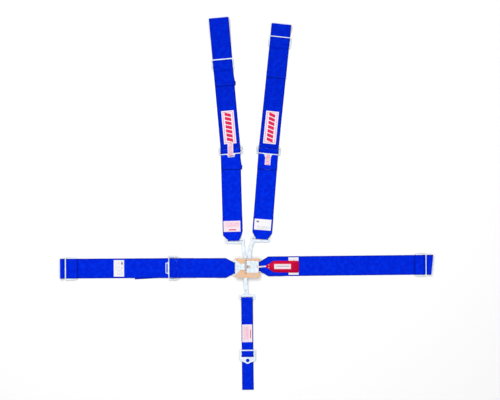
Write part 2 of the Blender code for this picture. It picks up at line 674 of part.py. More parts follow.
def shoulder(side, bar, heading, upper_start, upper_heading, link_spec, corners, upper_length, slide_s, tail,
             patch, small_label, ribbon_path):
    """One shoulder belt, from its end link to its wrap loop."""
    lower_far = (upper_start - bar).length
    adjust = upper_heading - heading
    lower_line = Line(bar, heading, adjust, lower_far - 90 * MM, lower_far - 40 * MM)
    upper_line = Line(upper_start, upper_heading)
    swivel = Body(f"{side}_link", Matrix.Translation((PIN.x, PIN.y, 0)), latch)
    lower = Body(f"{side}_lower", lower_line.matrix(0, BAR_Z), swivel)
    upper = Body(f"{side}_upper", lower_line.matrix(lower_far, FRAME_Z), lower)
    lock = Body(f"{side}_lock", adjuster_matrix(lower_line, lower_far, -1, LOCK_BAR_X, FRAME_Z), lower)
    pull = Body(f"{side}_ribbon", adjuster_matrix(lower_line, lower_far, -1, *ribbon_path[0]), lower)
    link(swivel, f"{side}_shoulder_link", lower_line, *link_spec)
    path = sewn_wrap(BAR_Z)
    path += lock_path(lower_far, -1, SHOULDER_FRONT, 66 * MM, True, lower_far - 60 * MM)[1:]
    webbing(lower, f"{side}_shoulder_lower_webbing", lower_line, path, BELT_WIDTH, corners)
    adjuster(lower, f"{side}_shoulder_adjuster", lower_line, lower_far, -1, SHOULDER_FRONT, 13.5 * MM)
    lock_bar(lock, f"{side}_shoulder_lock_bar", lower_line, lower_far, -1)
    ribbon(pull, f"{side}_shoulder_ribbon", lower_line, lower_far, -1, ribbon_path)
    path = sewn_wrap(FRAME_Z, 1, 0, 60 * MM, 13 * MM) + slide_path(slide_s, upper_length, tail)
    webbing(upper, f"{side}_shoulder_upper_webbing", upper_line, path, BELT_WIDTH)
    slide(upper, f"{side}_shoulder_slide", upper_line, slide_s)
    label(upper, f"{side}_shoulder_patch", upper_line, *patch, 0.6 * MM)
    label(lower, f"{side}_shoulder_label", lower_line, *small_label)


LABEL_HIGH = HIGH + WEB / 2 + GAP
shoulder("left", LEFT_SHOULDER_BAR, 91.6, Vector((-65.4 * MM, 465 * MM)), 95.2,
         (LEFT_EYE_Z, [(-15 * MM, -38.4 * MM), (-53 * MM, -40.5 * MM)], 5.5 * MM, (44 * MM, 31 * MM, 12 * MM),
          (-40 * MM, -60 * MM)),
         tapered([(0, 25.2 * MM, 19.3 * MM), (18 * MM, 34 * MM, HALF), (33 * MM, HALF, HALF)]),
         LEFT_UPPER_LENGTH, 322 * MM, 85 * MM,
         (14 * MM, 142 * MM, -25 * MM, 23 * MM, LABEL_HIGH),
         (31 * MM, 73 * MM, -30 * MM, 35 * MM, LABEL_HIGH),
         [(33 * MM, 6.8 * MM), (25 * MM, 8 * MM), (16 * MM, 10.8 * MM), (4 * MM, 10.6 * MM),
          (-3 * MM, 9.9 * MM), (-9 * MM, 7.2 * MM), (-15 * MM, 5.4 * MM)])
shoulder("right", RIGHT_SHOULDER_BAR, 85.6, Vector((84.7 * MM, 465.2 * MM)), 84.1,
         (RIGHT_EYE_Z, [(-15 * MM, 34.2 * MM), (-33 * MM, 40 * MM), (-52 * MM, 42 * MM)], 6.5 * MM,
          (31 * MM, 41 * MM, 12 * MM), (-20 * MM, -45 * MM)),
         tapered([(0, 24.8 * MM, 24.3 * MM), (21 * MM, HALF, HALF)]),
         RIGHT_UPPER_LENGTH, 409 * MM, 141 * MM,
         (14 * MM, 140 * MM, -25 * MM, 24 * MM, LABEL_HIGH),
         (31 * MM, 73 * MM, -32 * MM, 33 * MM, LABEL_HIGH),
         [(28 * MM, 6.8 * MM), (39 * MM, 6.8 * MM), (48 * MM, 4.2 * MM), (86 * MM, 4.2 * MM)])

# Crotch belt ---------------------------------------------------------------------------------------------


def crotch():
    line = Line(CROTCH_BAR, -89.37)
    swivel = Body("crotch_link", Matrix.Translation((PIN.x, PIN.y, 0)), latch)
    lower = Body("crotch", line.matrix(0, BAR_Z), swivel)
    arm = [(-15 * MM, -2 * MM), (-44 * MM, -3.5 * MM), (-76 * MM, -5 * MM)]
    link(swivel, "crotch_link", line, CROTCH_EYE_Z, arm, 6.5 * MM, (30.5 * MM, 30.5 * MM, 12 * MM),
         (-20 * MM, -60 * MM), (-31 * MM, -4 * MM, 2.4 * MM))
    plate_s = 214 * MM
    over = FRAME_Z + PLATE / 2 + GAP + WEB / 2
    path = sewn_wrap(BAR_Z)
    path += [(plate_s - 14 * MM, LOW)] + ramp((plate_s - 14 * MM, LOW), (plate_s - 5 * MM, over), 4)
    path += [(plate_s + 5 * MM, over)] + ramp((plate_s + 5 * MM, over), (plate_s + 14 * MM, LOW), 4)
    path += [(CROTCH_LENGTH, LOW)]
    webbing(lower, "crotch_webbing", line, path, CROTCH_WIDTH)
    half = 30.5 * MM
    inner = 24 * MM
    hole_s = 25 * MM
    ring = 13 * MM
    outer = [(-16 * MM, -half), (-16 * MM, half), (22 * MM, half), (27 * MM, half - 3 * MM)]
    outer += [(hole_s + ring * math.cos(a), ring * math.sin(a))
              for a in (math.radians(50 - 100 * i / 8) for i in range(9))]
    outer += [(27 * MM, 3 * MM - half), (22 * MM, -half)]
    plate = [outer, rectangle(2.5 * MM, -inner, 12 * MM, inner), rectangle(-11.5 * MM, -inner, -2.5 * MM, inner),
             circle(hole_s, 0, 7 * MM, 24)]
    mesh = outline_mesh(plate, FRAME_Z - PLATE / 2, FRAME_Z + PLATE / 2, line.matrix(plate_s))
    bevel(lower.add("crotch_anchor_plate", mesh, CHROME), 0.5 * MM)
    label(lower, "crotch_label", line, 101 * MM, 169 * MM, -20 * MM, 19 * MM, WEB + GAP)


crotch()
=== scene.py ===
"""Looks of the five-point racing harness: metals, woven belts, seams, sewn labels and the red pull tab.

Everything is in metres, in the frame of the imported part: +X along the right lap belt, +Y towards the
shoulder belts, +Z up from the surface that the harness lies on.
"""

import json
import math

import bmesh
import bpy
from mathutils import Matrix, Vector

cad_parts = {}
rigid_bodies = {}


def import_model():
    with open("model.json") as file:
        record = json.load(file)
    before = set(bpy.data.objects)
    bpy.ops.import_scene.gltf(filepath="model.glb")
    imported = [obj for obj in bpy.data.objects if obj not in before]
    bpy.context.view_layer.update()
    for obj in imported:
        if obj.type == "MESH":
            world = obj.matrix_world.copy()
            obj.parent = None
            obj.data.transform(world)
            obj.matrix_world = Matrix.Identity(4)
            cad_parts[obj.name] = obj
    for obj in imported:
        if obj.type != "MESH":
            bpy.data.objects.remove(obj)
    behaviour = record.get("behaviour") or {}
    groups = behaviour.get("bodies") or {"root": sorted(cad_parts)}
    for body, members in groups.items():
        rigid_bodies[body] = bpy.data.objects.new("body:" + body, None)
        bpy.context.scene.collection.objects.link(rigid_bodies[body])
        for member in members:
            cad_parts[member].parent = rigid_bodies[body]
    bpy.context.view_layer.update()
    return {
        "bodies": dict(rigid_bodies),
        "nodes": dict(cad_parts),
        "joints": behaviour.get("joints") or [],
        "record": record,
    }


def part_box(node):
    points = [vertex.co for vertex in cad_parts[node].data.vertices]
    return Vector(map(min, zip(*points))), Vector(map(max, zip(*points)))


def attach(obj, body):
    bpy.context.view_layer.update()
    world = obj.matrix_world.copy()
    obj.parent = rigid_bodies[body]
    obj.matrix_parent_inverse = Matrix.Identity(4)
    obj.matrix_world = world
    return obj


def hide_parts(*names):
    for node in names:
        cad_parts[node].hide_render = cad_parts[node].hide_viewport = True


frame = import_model()
nodes = frame["nodes"]
joints = {joint["name"]: joint for joint in frame["joints"]}

# Latch base, spacer studs, leaf spring, pins and lock bars ------------------------------------------------
# Stamped and turned steel with a thin grey zinc coat. The base is the lowest plate, the studs are riveted
# through it, and the lock pin stands in the middle, where every end link's eye goes over it.

MM = 0.001


def put(tree, kind, **settings):
    """A new node with its settings."""
    made = tree.nodes.new(kind)
    for key, value in settings.items():
        setattr(made, key, value)
    return made


def feed(tree, socket, value):
    """Give a socket a number, a colour or another node's output."""
    if isinstance(value, bpy.types.NodeSocket):
        tree.links.new(value, socket)
    else:
        socket.default_value = value


def calc(tree, operation, *values):
    """The output of one Math node."""
    made = put(tree, "ShaderNodeMath", operation=operation)
    for socket, value in zip(made.inputs, values):
        feed(tree, socket, value)
    return made.outputs[0]


def spread(tree, value, low, high, to_low=0.0, to_high=1.0, smooth=False):
    """The output of a Map Range node."""
    made = put(tree, "ShaderNodeMapRange", interpolation_type="SMOOTHSTEP" if smooth else "LINEAR")
    for socket, number in zip(made.inputs, (value, low, high, to_low, to_high)):
        feed(tree, socket, number)
    return made.outputs[0]


def tint(tree, mask, below, above):
    """One colour over another where the mask is 1."""
    made = put(tree, "ShaderNodeMix", data_type="RGBA")
    feed(tree, made.inputs[0], mask)
    feed(tree, made.inputs[6], below)
    feed(tree, made.inputs[7], above)
    return made.outputs[2]


def noise_texture(tree, vector, scale, detail=3.0, roughness=0.5):
    made = put(tree, "ShaderNodeTexNoise")
    feed(tree, made.inputs["Vector"], vector)
    feed(tree, made.inputs["Scale"], scale)
    made.inputs["Detail"].default_value = detail
    made.inputs["Roughness"].default_value = roughness
    return made.outputs["Fac"]


def shader_group(name, inputs, outputs):
    """An empty node group with number inputs, and a vector input where the default is a tuple."""
    tree = bpy.data.node_groups.new(name, "ShaderNodeTree")
    for label, default in inputs.items():
        kind = "NodeSocketVector" if isinstance(default, tuple) else "NodeSocketFloat"
        socket = tree.interface.new_socket(label, in_out="INPUT", socket_type=kind)
        socket.default_value = default
    for label in outputs:
        tree.interface.new_socket(label, in_out="OUTPUT", socket_type="NodeSocketFloat")
    return tree, tree.nodes.new("NodeGroupInput").outputs, tree.nodes.new("NodeGroupOutput").inputs


def use_group(tree, group, **values):
    """A group placed in a material, with its own values. Underscores stand for spaces."""
    made = put(tree, "ShaderNodeGroup", node_tree=group)
    for label, value in values.items():
        feed(tree, made.inputs[label.replace("_", " ")], value)
    return made.outputs


def new_material(name, roughness, metallic=0.0, specular=0.5):
    made = bpy.data.materials.new(name)
    made.use_nodes = True
    shader = made.node_tree.nodes["Principled BSDF"]
    shader.inputs["Roughness"].default_value = roughness
    shader.inputs["Metallic"].default_value = metallic
    shader.inputs["Specular IOR Level"].default_value = specular
    return made, made.node_tree, shader.inputs


def bump(tree, height, depth, strength=1.0):
    """A Bump node's normal, for a height from 0 to 1 that stands for a depth in metres."""
    made = put(tree, "ShaderNodeBump")
    made.inputs["Strength"].default_value = strength
    made.inputs["Distance"].default_value = depth
    feed(tree, made.inputs["Height"], height)
    return made.outputs["Normal"]


def metal_wear_group():
    """Handling marks: broad clouds, fine scratches that run one way, and pits, all from the place."""
    tree, given, out = shader_group(
        "metal_wear", {"Cloud Scale": 40.0, "Scratch Scale": 900.0, "Pit Scale": 1500.0},
        ("Cloud", "Scratch", "Height"))
    place = put(tree, "ShaderNodeTexCoord").outputs["Object"]
    cloud = noise_texture(tree, place, given["Cloud Scale"], 4.0, 0.6)
    drawn = put(tree, "ShaderNodeMapping")
    feed(tree, drawn.inputs["Vector"], place)
    drawn.inputs["Rotation"].default_value = (0.0, 0.0, 0.6)
    drawn.inputs["Scale"].default_value = (0.06, 1.0, 0.3)
    line = noise_texture(tree, drawn.outputs[0], given["Scratch Scale"], 2.0, 0.7)
    scratch = spread(tree, line, 0.58, 0.74)
    pit = noise_texture(tree, place, given["Pit Scale"], 2.0)
    height = calc(tree, "MULTIPLY_ADD", scratch, -0.5, pit)
    feed(tree, out["Cloud"], cloud)
    feed(tree, out["Scratch"], scratch)
    feed(tree, out["Height"], height)
    return tree


metal_wear = metal_wear_group()


def plated_steel():
    made, tree, shader = new_material("plated_steel", 0.35, 1.0)
    wear = use_group(tree, metal_wear, Cloud_Scale=60.0, Scratch_Scale=1100.0)
    colour = tint(tree, spread(tree, wear["Cloud"], 0.35, 0.7), (0.42, 0.44, 0.47, 1), (0.62, 0.63, 0.64, 1))
    feed(tree, shader["Base Color"], colour)
    feed(tree, shader["Roughness"], calc(tree, "MULTIPLY_ADD", wear["Scratch"], 0.2, 0.3))
    feed(tree, shader["Normal"], bump(tree, wear["Height"], 0.00003))
    return made


def finish_nodes(made, *names):
    for name in names:
        for cad_slot in nodes[name].material_slots:
            cad_slot.material = made


steel = plated_steel()
finish_nodes(steel, "latch_base", "leaf_spring", "hinge_pin", "lock_pin",
             *[name for name in nodes if name.startswith("cover_stud") or name.endswith("lock_bar")])

# Latch cover and hinge ears -------------------------------------------------------------------------------
# Stamped steel plate with a yellow zinc coat, whose passivated skin drifts between tan, pink and straw
# colour. It is riveted on the studs, and the two ears that hold the lever's hinge pin stand on it.


def yellow_zinc():
    made, tree, shader = new_material("yellow_zinc", 0.3, 0.85)
    wear = use_group(tree, metal_wear, Cloud_Scale=28.0, Scratch_Scale=700.0)
    place = put(tree, "ShaderNodeTexCoord").outputs["Object"]
    film = noise_texture(tree, place, 45.0, 2.0, 0.4)
    ramp = put(tree, "ShaderNodeValToRGB")
    feed(tree, ramp.inputs[0], film)
    ramp.color_ramp.elements[0].position = 0.3
    ramp.color_ramp.elements[0].color = (0.62, 0.36, 0.2, 1)
    ramp.color_ramp.elements[1].position = 0.74
    ramp.color_ramp.elements[1].color = (0.56, 0.38, 0.34, 1)
    for position, colour in ((0.45, (0.63, 0.37, 0.2, 1)), (0.58, (0.6, 0.4, 0.26, 1))):
        ramp.color_ramp.elements.new(position).color = colour
    dull = calc(tree, "MULTIPLY", spread(tree, wear["Cloud"], 0.5, 0.8), 0.35)
    feed(tree, shader["Base Color"], tint(tree, dull, ramp.outputs[0], (0.5, 0.42, 0.3, 1)))
    feed(tree, shader["Roughness"], calc(tree, "MULTIPLY_ADD", wear["Scratch"], 0.15, 0.28))
    feed(tree, shader["Normal"], bump(tree, wear["Height"], 0.00003))
    return made


finish_nodes(yellow_zinc(), "latch_cover", "hinge_ear_top", "hinge_ear_bottom")

# Lever, end links, tongue, slides, adjusters and anchor plate ---------------------------------------------
# Pressed from steel plate and chrome plated. The links, the tongue and the lever all hang on the latch, and
# the slides, adjusters and the anchor plate are threaded on the belts.


def chrome():
    made, tree, shader = new_material("chrome", 0.12, 1.0)
    wear = use_group(tree, metal_wear, Cloud_Scale=90.0, Scratch_Scale=1300.0)
    colour = tint(tree, spread(tree, wear["Cloud"], 0.4, 0.75), (0.5, 0.57, 0.64, 1), (0.7, 0.75, 0.8, 1))
    feed(tree, shader["Base Color"], colour)
    feed(tree, shader["Roughness"], calc(tree, "MULTIPLY_ADD", wear["Scratch"], 0.16, 0.1))
    feed(tree, shader["Normal"], bump(tree, wear["Height"], 0.00002))
    return made


polished = chrome()
finish_nodes(polished, "lever", "lap_tongue", "left_shoulder_link", "right_shoulder_link", "crotch_link",
             "crotch_anchor_plate", *[name for name in nodes if name.endswith(("_slide", "_adjuster"))])

# Belts ----------------------------------------------------------------------------------------------------
# Blue polyester webbing, 3 inches wide (the crotch belt 1 3/4), woven in ribs with a denser selvedge on both
# sides. Each belt is doubled round its steel bar and sewn to itself, then runs through slides and adjusters.

BELT = 76.2 * MM
CROTCH_BELT = 44.8 * MM
WEB = 1.5 * MM
GAP = 0.3 * MM
LOW = WEB / 2
HIGH = LOW + WEB + GAP
PLATE = 2.4 * MM
BAR = 4 * MM
WRAP = 3.4 * MM
BAR_Z = LOW + WRAP
FRAME_Z = 4.8 * MM
OVER = FRAME_Z + PLATE / 2 + GAP + WEB / 2
SLIDE_HALF = 21 * MM
LOOP = 5.5 * MM
LOCK_BAR = 9.3 * MM
LOCK_WRAP = 3.85 * MM
HEM = 14 * MM


class Course:
    """A belt's middle line on the ground, from the joint that it folds on. Rows turn by skew on the way."""

    def __init__(self, joint, skew=0.0, skew_from=0.0, skew_to=1.0):
        self.start = Vector(joints[joint]["pos_m"])
        axis = Vector(joints[joint]["axis"])
        self.along = Vector((-axis.y, axis.x, 0)).normalized()
        self.heading = math.atan2(self.along.y, self.along.x)
        self.skew = skew
        self.skew_from = skew_from
        self.skew_to = skew_to

    def place(self, s, t, z):
        part = (s - self.skew_from) / (self.skew_to - self.skew_from)
        turned = self.heading + self.skew * min(max(part, 0), 1) + math.pi / 2
        flat = self.start + s * self.along + t * Vector((math.cos(turned), math.sin(turned), 0))
        return Vector((flat.x, flat.y, z))


def ramp(start, end, count=12):
    """Points (s, z) of a smooth change of height, without its first point."""
    points = []
    for i in range(1, count + 1):
        part = i / count
        rise = part * part * (3 - 2 * part)
        points.append((start[0] + (end[0] - start[0]) * part, start[1] + (end[1] - start[1]) * rise))
    return points


def arc(s, z, radius, first, last, count=16):
    """Points (s, z) round a bar, with angles in degrees from +s towards +z."""
    points = []
    for i in range(count + 1):
        a = math.radians(first + (last - first) * i / count)
        points.append((s + radius * math.cos(a), z + radius * math.sin(a)))
    return points


def sewn_wrap(bar_z, direction=1, start=0.0, tail=80 * MM, down=22 * MM):
    """The way round a bar, from the end of the sewn tail to the ground beyond it."""
    def at(s):
        return start + direction * s
    route = [(at(tail), LOW), (at(10 * MM), LOW)]
    route += ramp((at(10 * MM), LOW), (at(0), bar_z - WRAP), 4)[:-1]
    route += arc(at(0), bar_z, WRAP, -90, -270 if direction > 0 else 90)
    route += ramp((at(0), bar_z + WRAP), (at(down), HIGH), 10)
    route += [(at(tail + 2 * MM), HIGH)]
    return route + ramp((at(tail + 2 * MM), HIGH), (at(tail + 20 * MM), LOW), 8)


def slide_route(centre, end, tail):
    """Up through a slide, round the open loop at the belt's end, back through the slide and out."""
    route = [(centre - 24 * MM, LOW), (centre - 14 * MM, LOW)]
    route += ramp(route[-1], (centre - 5 * MM, OVER), 8)
    route += [(centre + 5 * MM, OVER)]
    route += ramp(route[-1], (centre + 14 * MM, LOW), 8)
    turn = end - LOOP - WEB / 2
    route += arc(turn, LOW + LOOP, LOOP, -90, 90)
    route += ramp((turn, LOW + 2 * LOOP), (centre + SLIDE_HALF + GAP, HIGH), 12)
    route += [(centre + 16.4 * MM, HIGH)]
    route += ramp(route[-1], (centre + 6.4 * MM, OVER + WEB + GAP), 8)
    route += [(centre - 6.4 * MM, OVER + WEB + GAP)]
    route += ramp(route[-1], (centre - 13 * MM, OVER), 5)
    route += [(centre - SLIDE_HALF - GAP, OVER)]
    if tail > 40 * MM:
        route += ramp(route[-1], (centre - SLIDE_HALF - 7 * MM, HIGH), 8)
        return route + [(centre - tail, HIGH)]
    return route + ramp(route[-1], (centre - tail, OVER - 1.2 * MM), 3)


def lock_route(bar_s, direction, front, tail, tail_on_top, far):
    """The belt that an adjuster holds: from far away, round the lock bar, to its free tail."""
    def at(a):
        return bar_s + direction * a
    under = front - BAR / 2 - 2.5 * MM
    clear = LOCK_BAR + BAR / 2 + 2.9 * MM
    low_side = [(at(under), LOW), (at(LOCK_BAR), FRAME_Z - LOCK_WRAP)]
    high_side = [(at(LOCK_BAR), FRAME_Z + LOCK_WRAP), (at(clear), FRAME_Z + LOCK_WRAP)]
    high_side += ramp(high_side[-1], (at(under), HIGH), 8)
    turn = arc(at(LOCK_BAR), FRAME_Z, LOCK_WRAP, -90, -270 if direction > 0 else 90)[1:-1]
    if tail_on_top:
        return [(far, LOW)] + low_side + turn + high_side + [(at(under + tail), HIGH)]
    route = [(far, LOW)] + ramp((at(under + tail + 26 * MM), LOW), (at(under + tail + 3 * MM), HIGH), 8)
    route += list(reversed(high_side)) + list(reversed(turn)) + list(reversed(low_side))
    return route + [(at(under + tail), LOW)]


def hemmed(route):
    """The route with its free end turned under itself, as a sewn hem that lifts the belt's last stretch."""
    turn = (WEB + GAP / 2) / 2
    s, z = route[-1]
    way = 1 if s > route[-2][0] else -1
    last = s - way * (turn + WEB / 2)
    lift = ramp((last - way * (HEM + 7 * MM), z), (last - way * (HEM + 1 * MM), z + 2 * turn), 5)
    folded = arc(last, z + turn, turn, 90, -90 if way > 0 else 270, 8)
    return route[:-1] + [(last - way * (HEM + 7 * MM), z)] + lift + folded + [(last - way * HEM, z)]


def stepped(route, step):
    """The route with points no further apart than the step."""
    points = [route[0]]
    for (s0, z0), (s1, z1) in zip(route, route[1:]):
        count = max(1, math.ceil(math.hypot(s1 - s0, z1 - z0) / step))
        points += [(s0 + (s1 - s0) * i / count, z0 + (z1 - z0) * i / count) for i in range(1, count + 1)]
    return [b for a, b in zip([(9.0, 9.0)] + points, points) if math.dist(a, b) > 0.05 * MM]


def tapered(rows):
    """Half widths of a belt whose corners are folded in at its sewn end, as (s, right, left) rows."""
    def sides(s):
        for (s0, r0, l0), (s1, r1, l1) in zip(rows, rows[1:]):
            if s <= s1:
                part = min(max((s - s0) / (s1 - s0), 0), 1)
                return r0 + (r1 - r0) * part, l0 + (l1 - l0) * part
        return rows[-1][1:]
    return sides


def linked(name, data):
    """A new object for a mesh, a lamp or a camera, in the scene."""
    made = bpy.data.objects.new(name, data)
    bpy.context.scene.collection.objects.link(made)
    return made


def close_mesh(bm, mesh):
    """Turn every face outwards and write the mesh."""
    bmesh.ops.recalc_face_normals(bm, faces=bm.faces)
    bm.to_mesh(mesh)
    bm.free()


SELVEDGE = [(0.0, 0.35), (0.3, 0.8), (0.9, 1.0), (2.4, 1.0), (3.1, 0.86), (3.9, 0.94)]   # mm in, thickness
RIBS_ACROSS = 14


def strap(name, body, course, route, sides, thickness, made, drift=(0.0, 0.0), drift_in=(0.0, 0.0), fold=0.0,
          selvedge=SELVEDGE):
    """A woven strap along a route of (s, z) points, with its thickness, its selvedges and its weave map.

    drift is how far the last part of the strap strays to its left, and over what length. drift_in is the same
    for its first part, and fold is how far before its end the strap turns back in a hem; edge_distance counts
    to that crease as well as to the edges and ends, and drives the webbing's painted shade.
    """
    route = stepped(route, 3.2 * MM)
    runs = [0.0]
    for here, after in zip(route, route[1:]):
        runs.append(runs[-1] + math.dist(here, after))
    mesh = bpy.data.meshes.new(name)
    verts, faces, maps, edges_in = [], [], [], []
    for i, (s, z) in enumerate(route):
        before, after = route[max(i - 1, 0)], route[min(i + 1, len(route) - 1)]
        slope = math.atan2(after[1] - before[1], after[0] - before[0])
        right, left = sides(s)
        to_end = runs[-1] - runs[i]
        shift = drift[0] * max(0.0, 1 - to_end / drift[1]) if drift[1] else 0.0
        shift += drift_in[0] * max(0.0, 1 - runs[i] / drift_in[1]) if drift_in[1] else 0.0
        to_crease = min(runs[i], abs(to_end - fold))
        columns = [(-right + inset * MM, part) for inset, part in selvedge]
        first, last = -right + selvedge[-1][0] * MM, left - selvedge[-1][0] * MM
        columns += [(first + (last - first) * k / RIBS_ACROSS, 0.94) for k in range(1, RIBS_ACROSS)]
        columns += [(left - inset * MM, part) for inset, part in reversed(selvedge)]
        for side in (1, -1):
            for t, part in columns[::side]:
                lift = side * part * thickness / 2
                verts.append(course.place(s - lift * math.sin(slope), t + shift, z + lift * math.cos(slope)))
                maps.append((t, runs[i]))
                edges_in.append(min(t + right, left - t, to_crease))
    ring = len(verts) // len(route)
    for i in range(len(route) - 1):
        for k in range(ring):
            a, b = i * ring + k, i * ring + (k + 1) % ring
            faces.append((a, b, b + ring, a + ring))
    half = ring // 2
    for start in (0, len(verts) - ring):
        for k in range(half - 1):
            cap = (start + k, start + k + 1, start + ring - 2 - k, start + ring - 1 - k)
            faces.append(cap if start else cap[::-1])
    mesh.from_pydata(verts, [], faces)
    mesh.validate()
    weave_map = mesh.uv_layers.new(name="weave")
    for loop in mesh.loops:
        weave_map.data[loop.index].uv = maps[loop.vertex_index]
    # edge_distance drives the painted shade along the edges, the ends and the hem crease.
    near = mesh.attributes.new("edge_distance", "FLOAT", "POINT")
    near.data.foreach_set("value", edges_in)
    bm = bmesh.new()
    bm.from_mesh(mesh)
    close_mesh(bm, mesh)
    mesh.shade_smooth()
    mesh.set_sharp_from_angle(angle=math.radians(55))
    mesh.materials.append(made)
    piece = linked(name, mesh)
    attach(piece, body)
    return piece


def weave_group():
    """Ribs along the belt, whose yarns slant one way and then the other, crossed by the weft's picks."""
    tree, given, out = shader_group(
        "weave", {"Vector": (0.0, 0.0, 0.0), "Rib Pitch": 2.6 * MM, "Pick Pitch": 1.9 * MM,
                  "Cross Rib": 7.7 * MM}, ("Height", "Depth", "Cross", "Yarn"))
    split = put(tree, "ShaderNodeSeparateXYZ")
    feed(tree, split.inputs[0], given["Vector"])
    across = calc(tree, "DIVIDE", split.outputs["X"], given["Rib Pitch"])
    rib = calc(tree, "FLOOR", across)
    inside = calc(tree, "FRACT", across)
    odd = calc(tree, "FLOORED_MODULO", rib, 2.0)
    mirrored = calc(tree, "ABSOLUTE", calc(tree, "SUBTRACT", odd, inside))
    along = calc(tree, "DIVIDE", split.outputs["Y"], given["Pick Pitch"])
    phase = calc(tree, "MULTIPLY", calc(tree, "ADD", along, calc(tree, "MULTIPLY", mirrored, 0.9)), math.tau)
    yarn = calc(tree, "MULTIPLY_ADD", calc(tree, "SINE", phase), 0.5, 0.5)
    crown = calc(tree, "POWER", calc(tree, "SINE", calc(tree, "MULTIPLY", inside, math.pi)), 0.5)
    height = calc(tree, "MULTIPLY", crown, calc(tree, "MULTIPLY_ADD", yarn, 0.55, 0.45))
    wave = calc(tree, "SINE", calc(tree, "MULTIPLY", calc(tree, "DIVIDE", split.outputs["Y"],
                                                             given["Cross Rib"]), math.tau))
    tone = noise_texture(tree, given["Vector"], 60.0, 3.0)
    feed(tree, out["Height"], height)
    feed(tree, out["Depth"], calc(tree, "SUBTRACT", 1.0, height))
    feed(tree, out["Cross"], calc(tree, "MULTIPLY_ADD", wave, 0.5, 0.5))
    feed(tree, out["Yarn"], tone)
    return tree


weave = weave_group()


def webbing(name, cross_rib, lit=1.0):
    """Dyed polyester blue, with painted shade: a deeper blue in the weave's grooves, darker towards the
    edges, ends and hem creases, and all blues scaled by lit.
    """
    made, tree, shader = new_material(name, 0.8, 0.0, 0.01)
    pattern = use_group(tree, weave, Vector=put(tree, "ShaderNodeUVMap", uv_map="weave").outputs[0],
                        Cross_Rib=cross_rib)
    near = put(tree, "ShaderNodeAttribute", attribute_name="edge_distance").outputs["Fac"]
    # Painted shade: the weave's grooves (Depth) take a darker blue than its ribs.
    colour = tint(tree, spread(tree, pattern["Depth"], 0.15, 0.95), (0.0002, 0.027 * lit, 0.86 * lit, 1),
                  (0.0001, 0.006 * lit, 0.4 * lit, 1))
    colour = tint(tree, calc(tree, "MULTIPLY", pattern["Cross"], 0.36), colour, (0.0001, 0.008, 0.42, 1))
    colour = tint(tree, spread(tree, pattern["Yarn"], 0.42, 0.72, 0.0, 0.45), colour,
                  (0.0006, 0.045 * lit, 0.95 * lit, 1))
    # Painted shade: the blue darkens within 4.6 mm of the edges, the ends and a hem's crease.
    painted_edge_shade = spread(tree, near, 4.6 * MM, 0.5 * MM, 0.0, 0.85, True)
    colour = tint(tree, painted_edge_shade, colour, (0.0002, 0.006, 0.22, 1))
    feed(tree, shader["Base Color"], colour)
    feed(tree, shader["Roughness"], spread(tree, pattern["Height"], 0.0, 1.0, 0.9, 0.62))
    feed(tree, shader["Normal"], bump(tree, pattern["Height"], 0.00035, 0.8))
    return made


belt_blue = webbing("belt_blue", 7.7 * MM)
# Painted shade: the upper belts take the same webbing with its lit blues scaled down to 0.8.
shaded_upper_blue = webbing("upper_belt_blue_painted_shade", 11 * MM, 0.8)


HEM_FOLD = HEM + 1.3 * MM


def belt(name, body, course, route, sides, drift=(0.0, 0.0), drift_in=(0.0, 0.0), fold=0.0, made=belt_blue):
    piece = strap(name, body, course, route, sides, WEB, made, drift, drift_in, fold)
    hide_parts(name)
    return piece


def plain_sides(width):
    return tapered([(0.0, width / 2, width / 2), (1.0, width / 2, width / 2)])


right_course = Course("right_lap_fold", math.radians(-6), 645 * MM, 664 * MM)
belt("right_lap_webbing", "right_lap", right_course,
     sewn_wrap(BAR_Z) + slide_route(621 * MM, 664 * MM, 25 * MM),
     tapered([(0.0, 18.4 * MM, 18.4 * MM), (32 * MM, BELT / 2, BELT / 2)]))

inner_course = Course("left_lap_fold")
belt("left_lap_inner_webbing", "left_lap", inner_course,
     sewn_wrap(BAR_Z, 1, 0, 60 * MM) + list(reversed(sewn_wrap(FRAME_Z, -1, 217.7 * MM, 60 * MM))),
     tapered([(0.0, 22 * MM, 22 * MM), (30 * MM, BELT / 2, BELT / 2)]))

outer_course = Course("left_lap_outer_fold")
held = lock_route(0.0, 1, 32.3 * MM, 136 * MM, False, 388 * MM)
belt("left_lap_outer_webbing", "left_lap_outer", outer_course,
     list(reversed(held)) + slide_route(412 * MM, 451.8 * MM, 28 * MM)[1:], plain_sides(BELT),
     drift_in=(5 * MM, 95 * MM))


def shoulder_courses(side):
    """The lower and the upper belt's courses. The lower belt's rows turn to meet the upper's heading."""
    upper = Course(f"{side}_upper_fold")
    lower = Course(f"{side}_lower_fold")
    far = (upper.start - lower.start).xy.length
    lower.skew = upper.heading - lower.heading
    lower.skew_from = far - 90 * MM
    lower.skew_to = far - 40 * MM
    return lower, upper, far


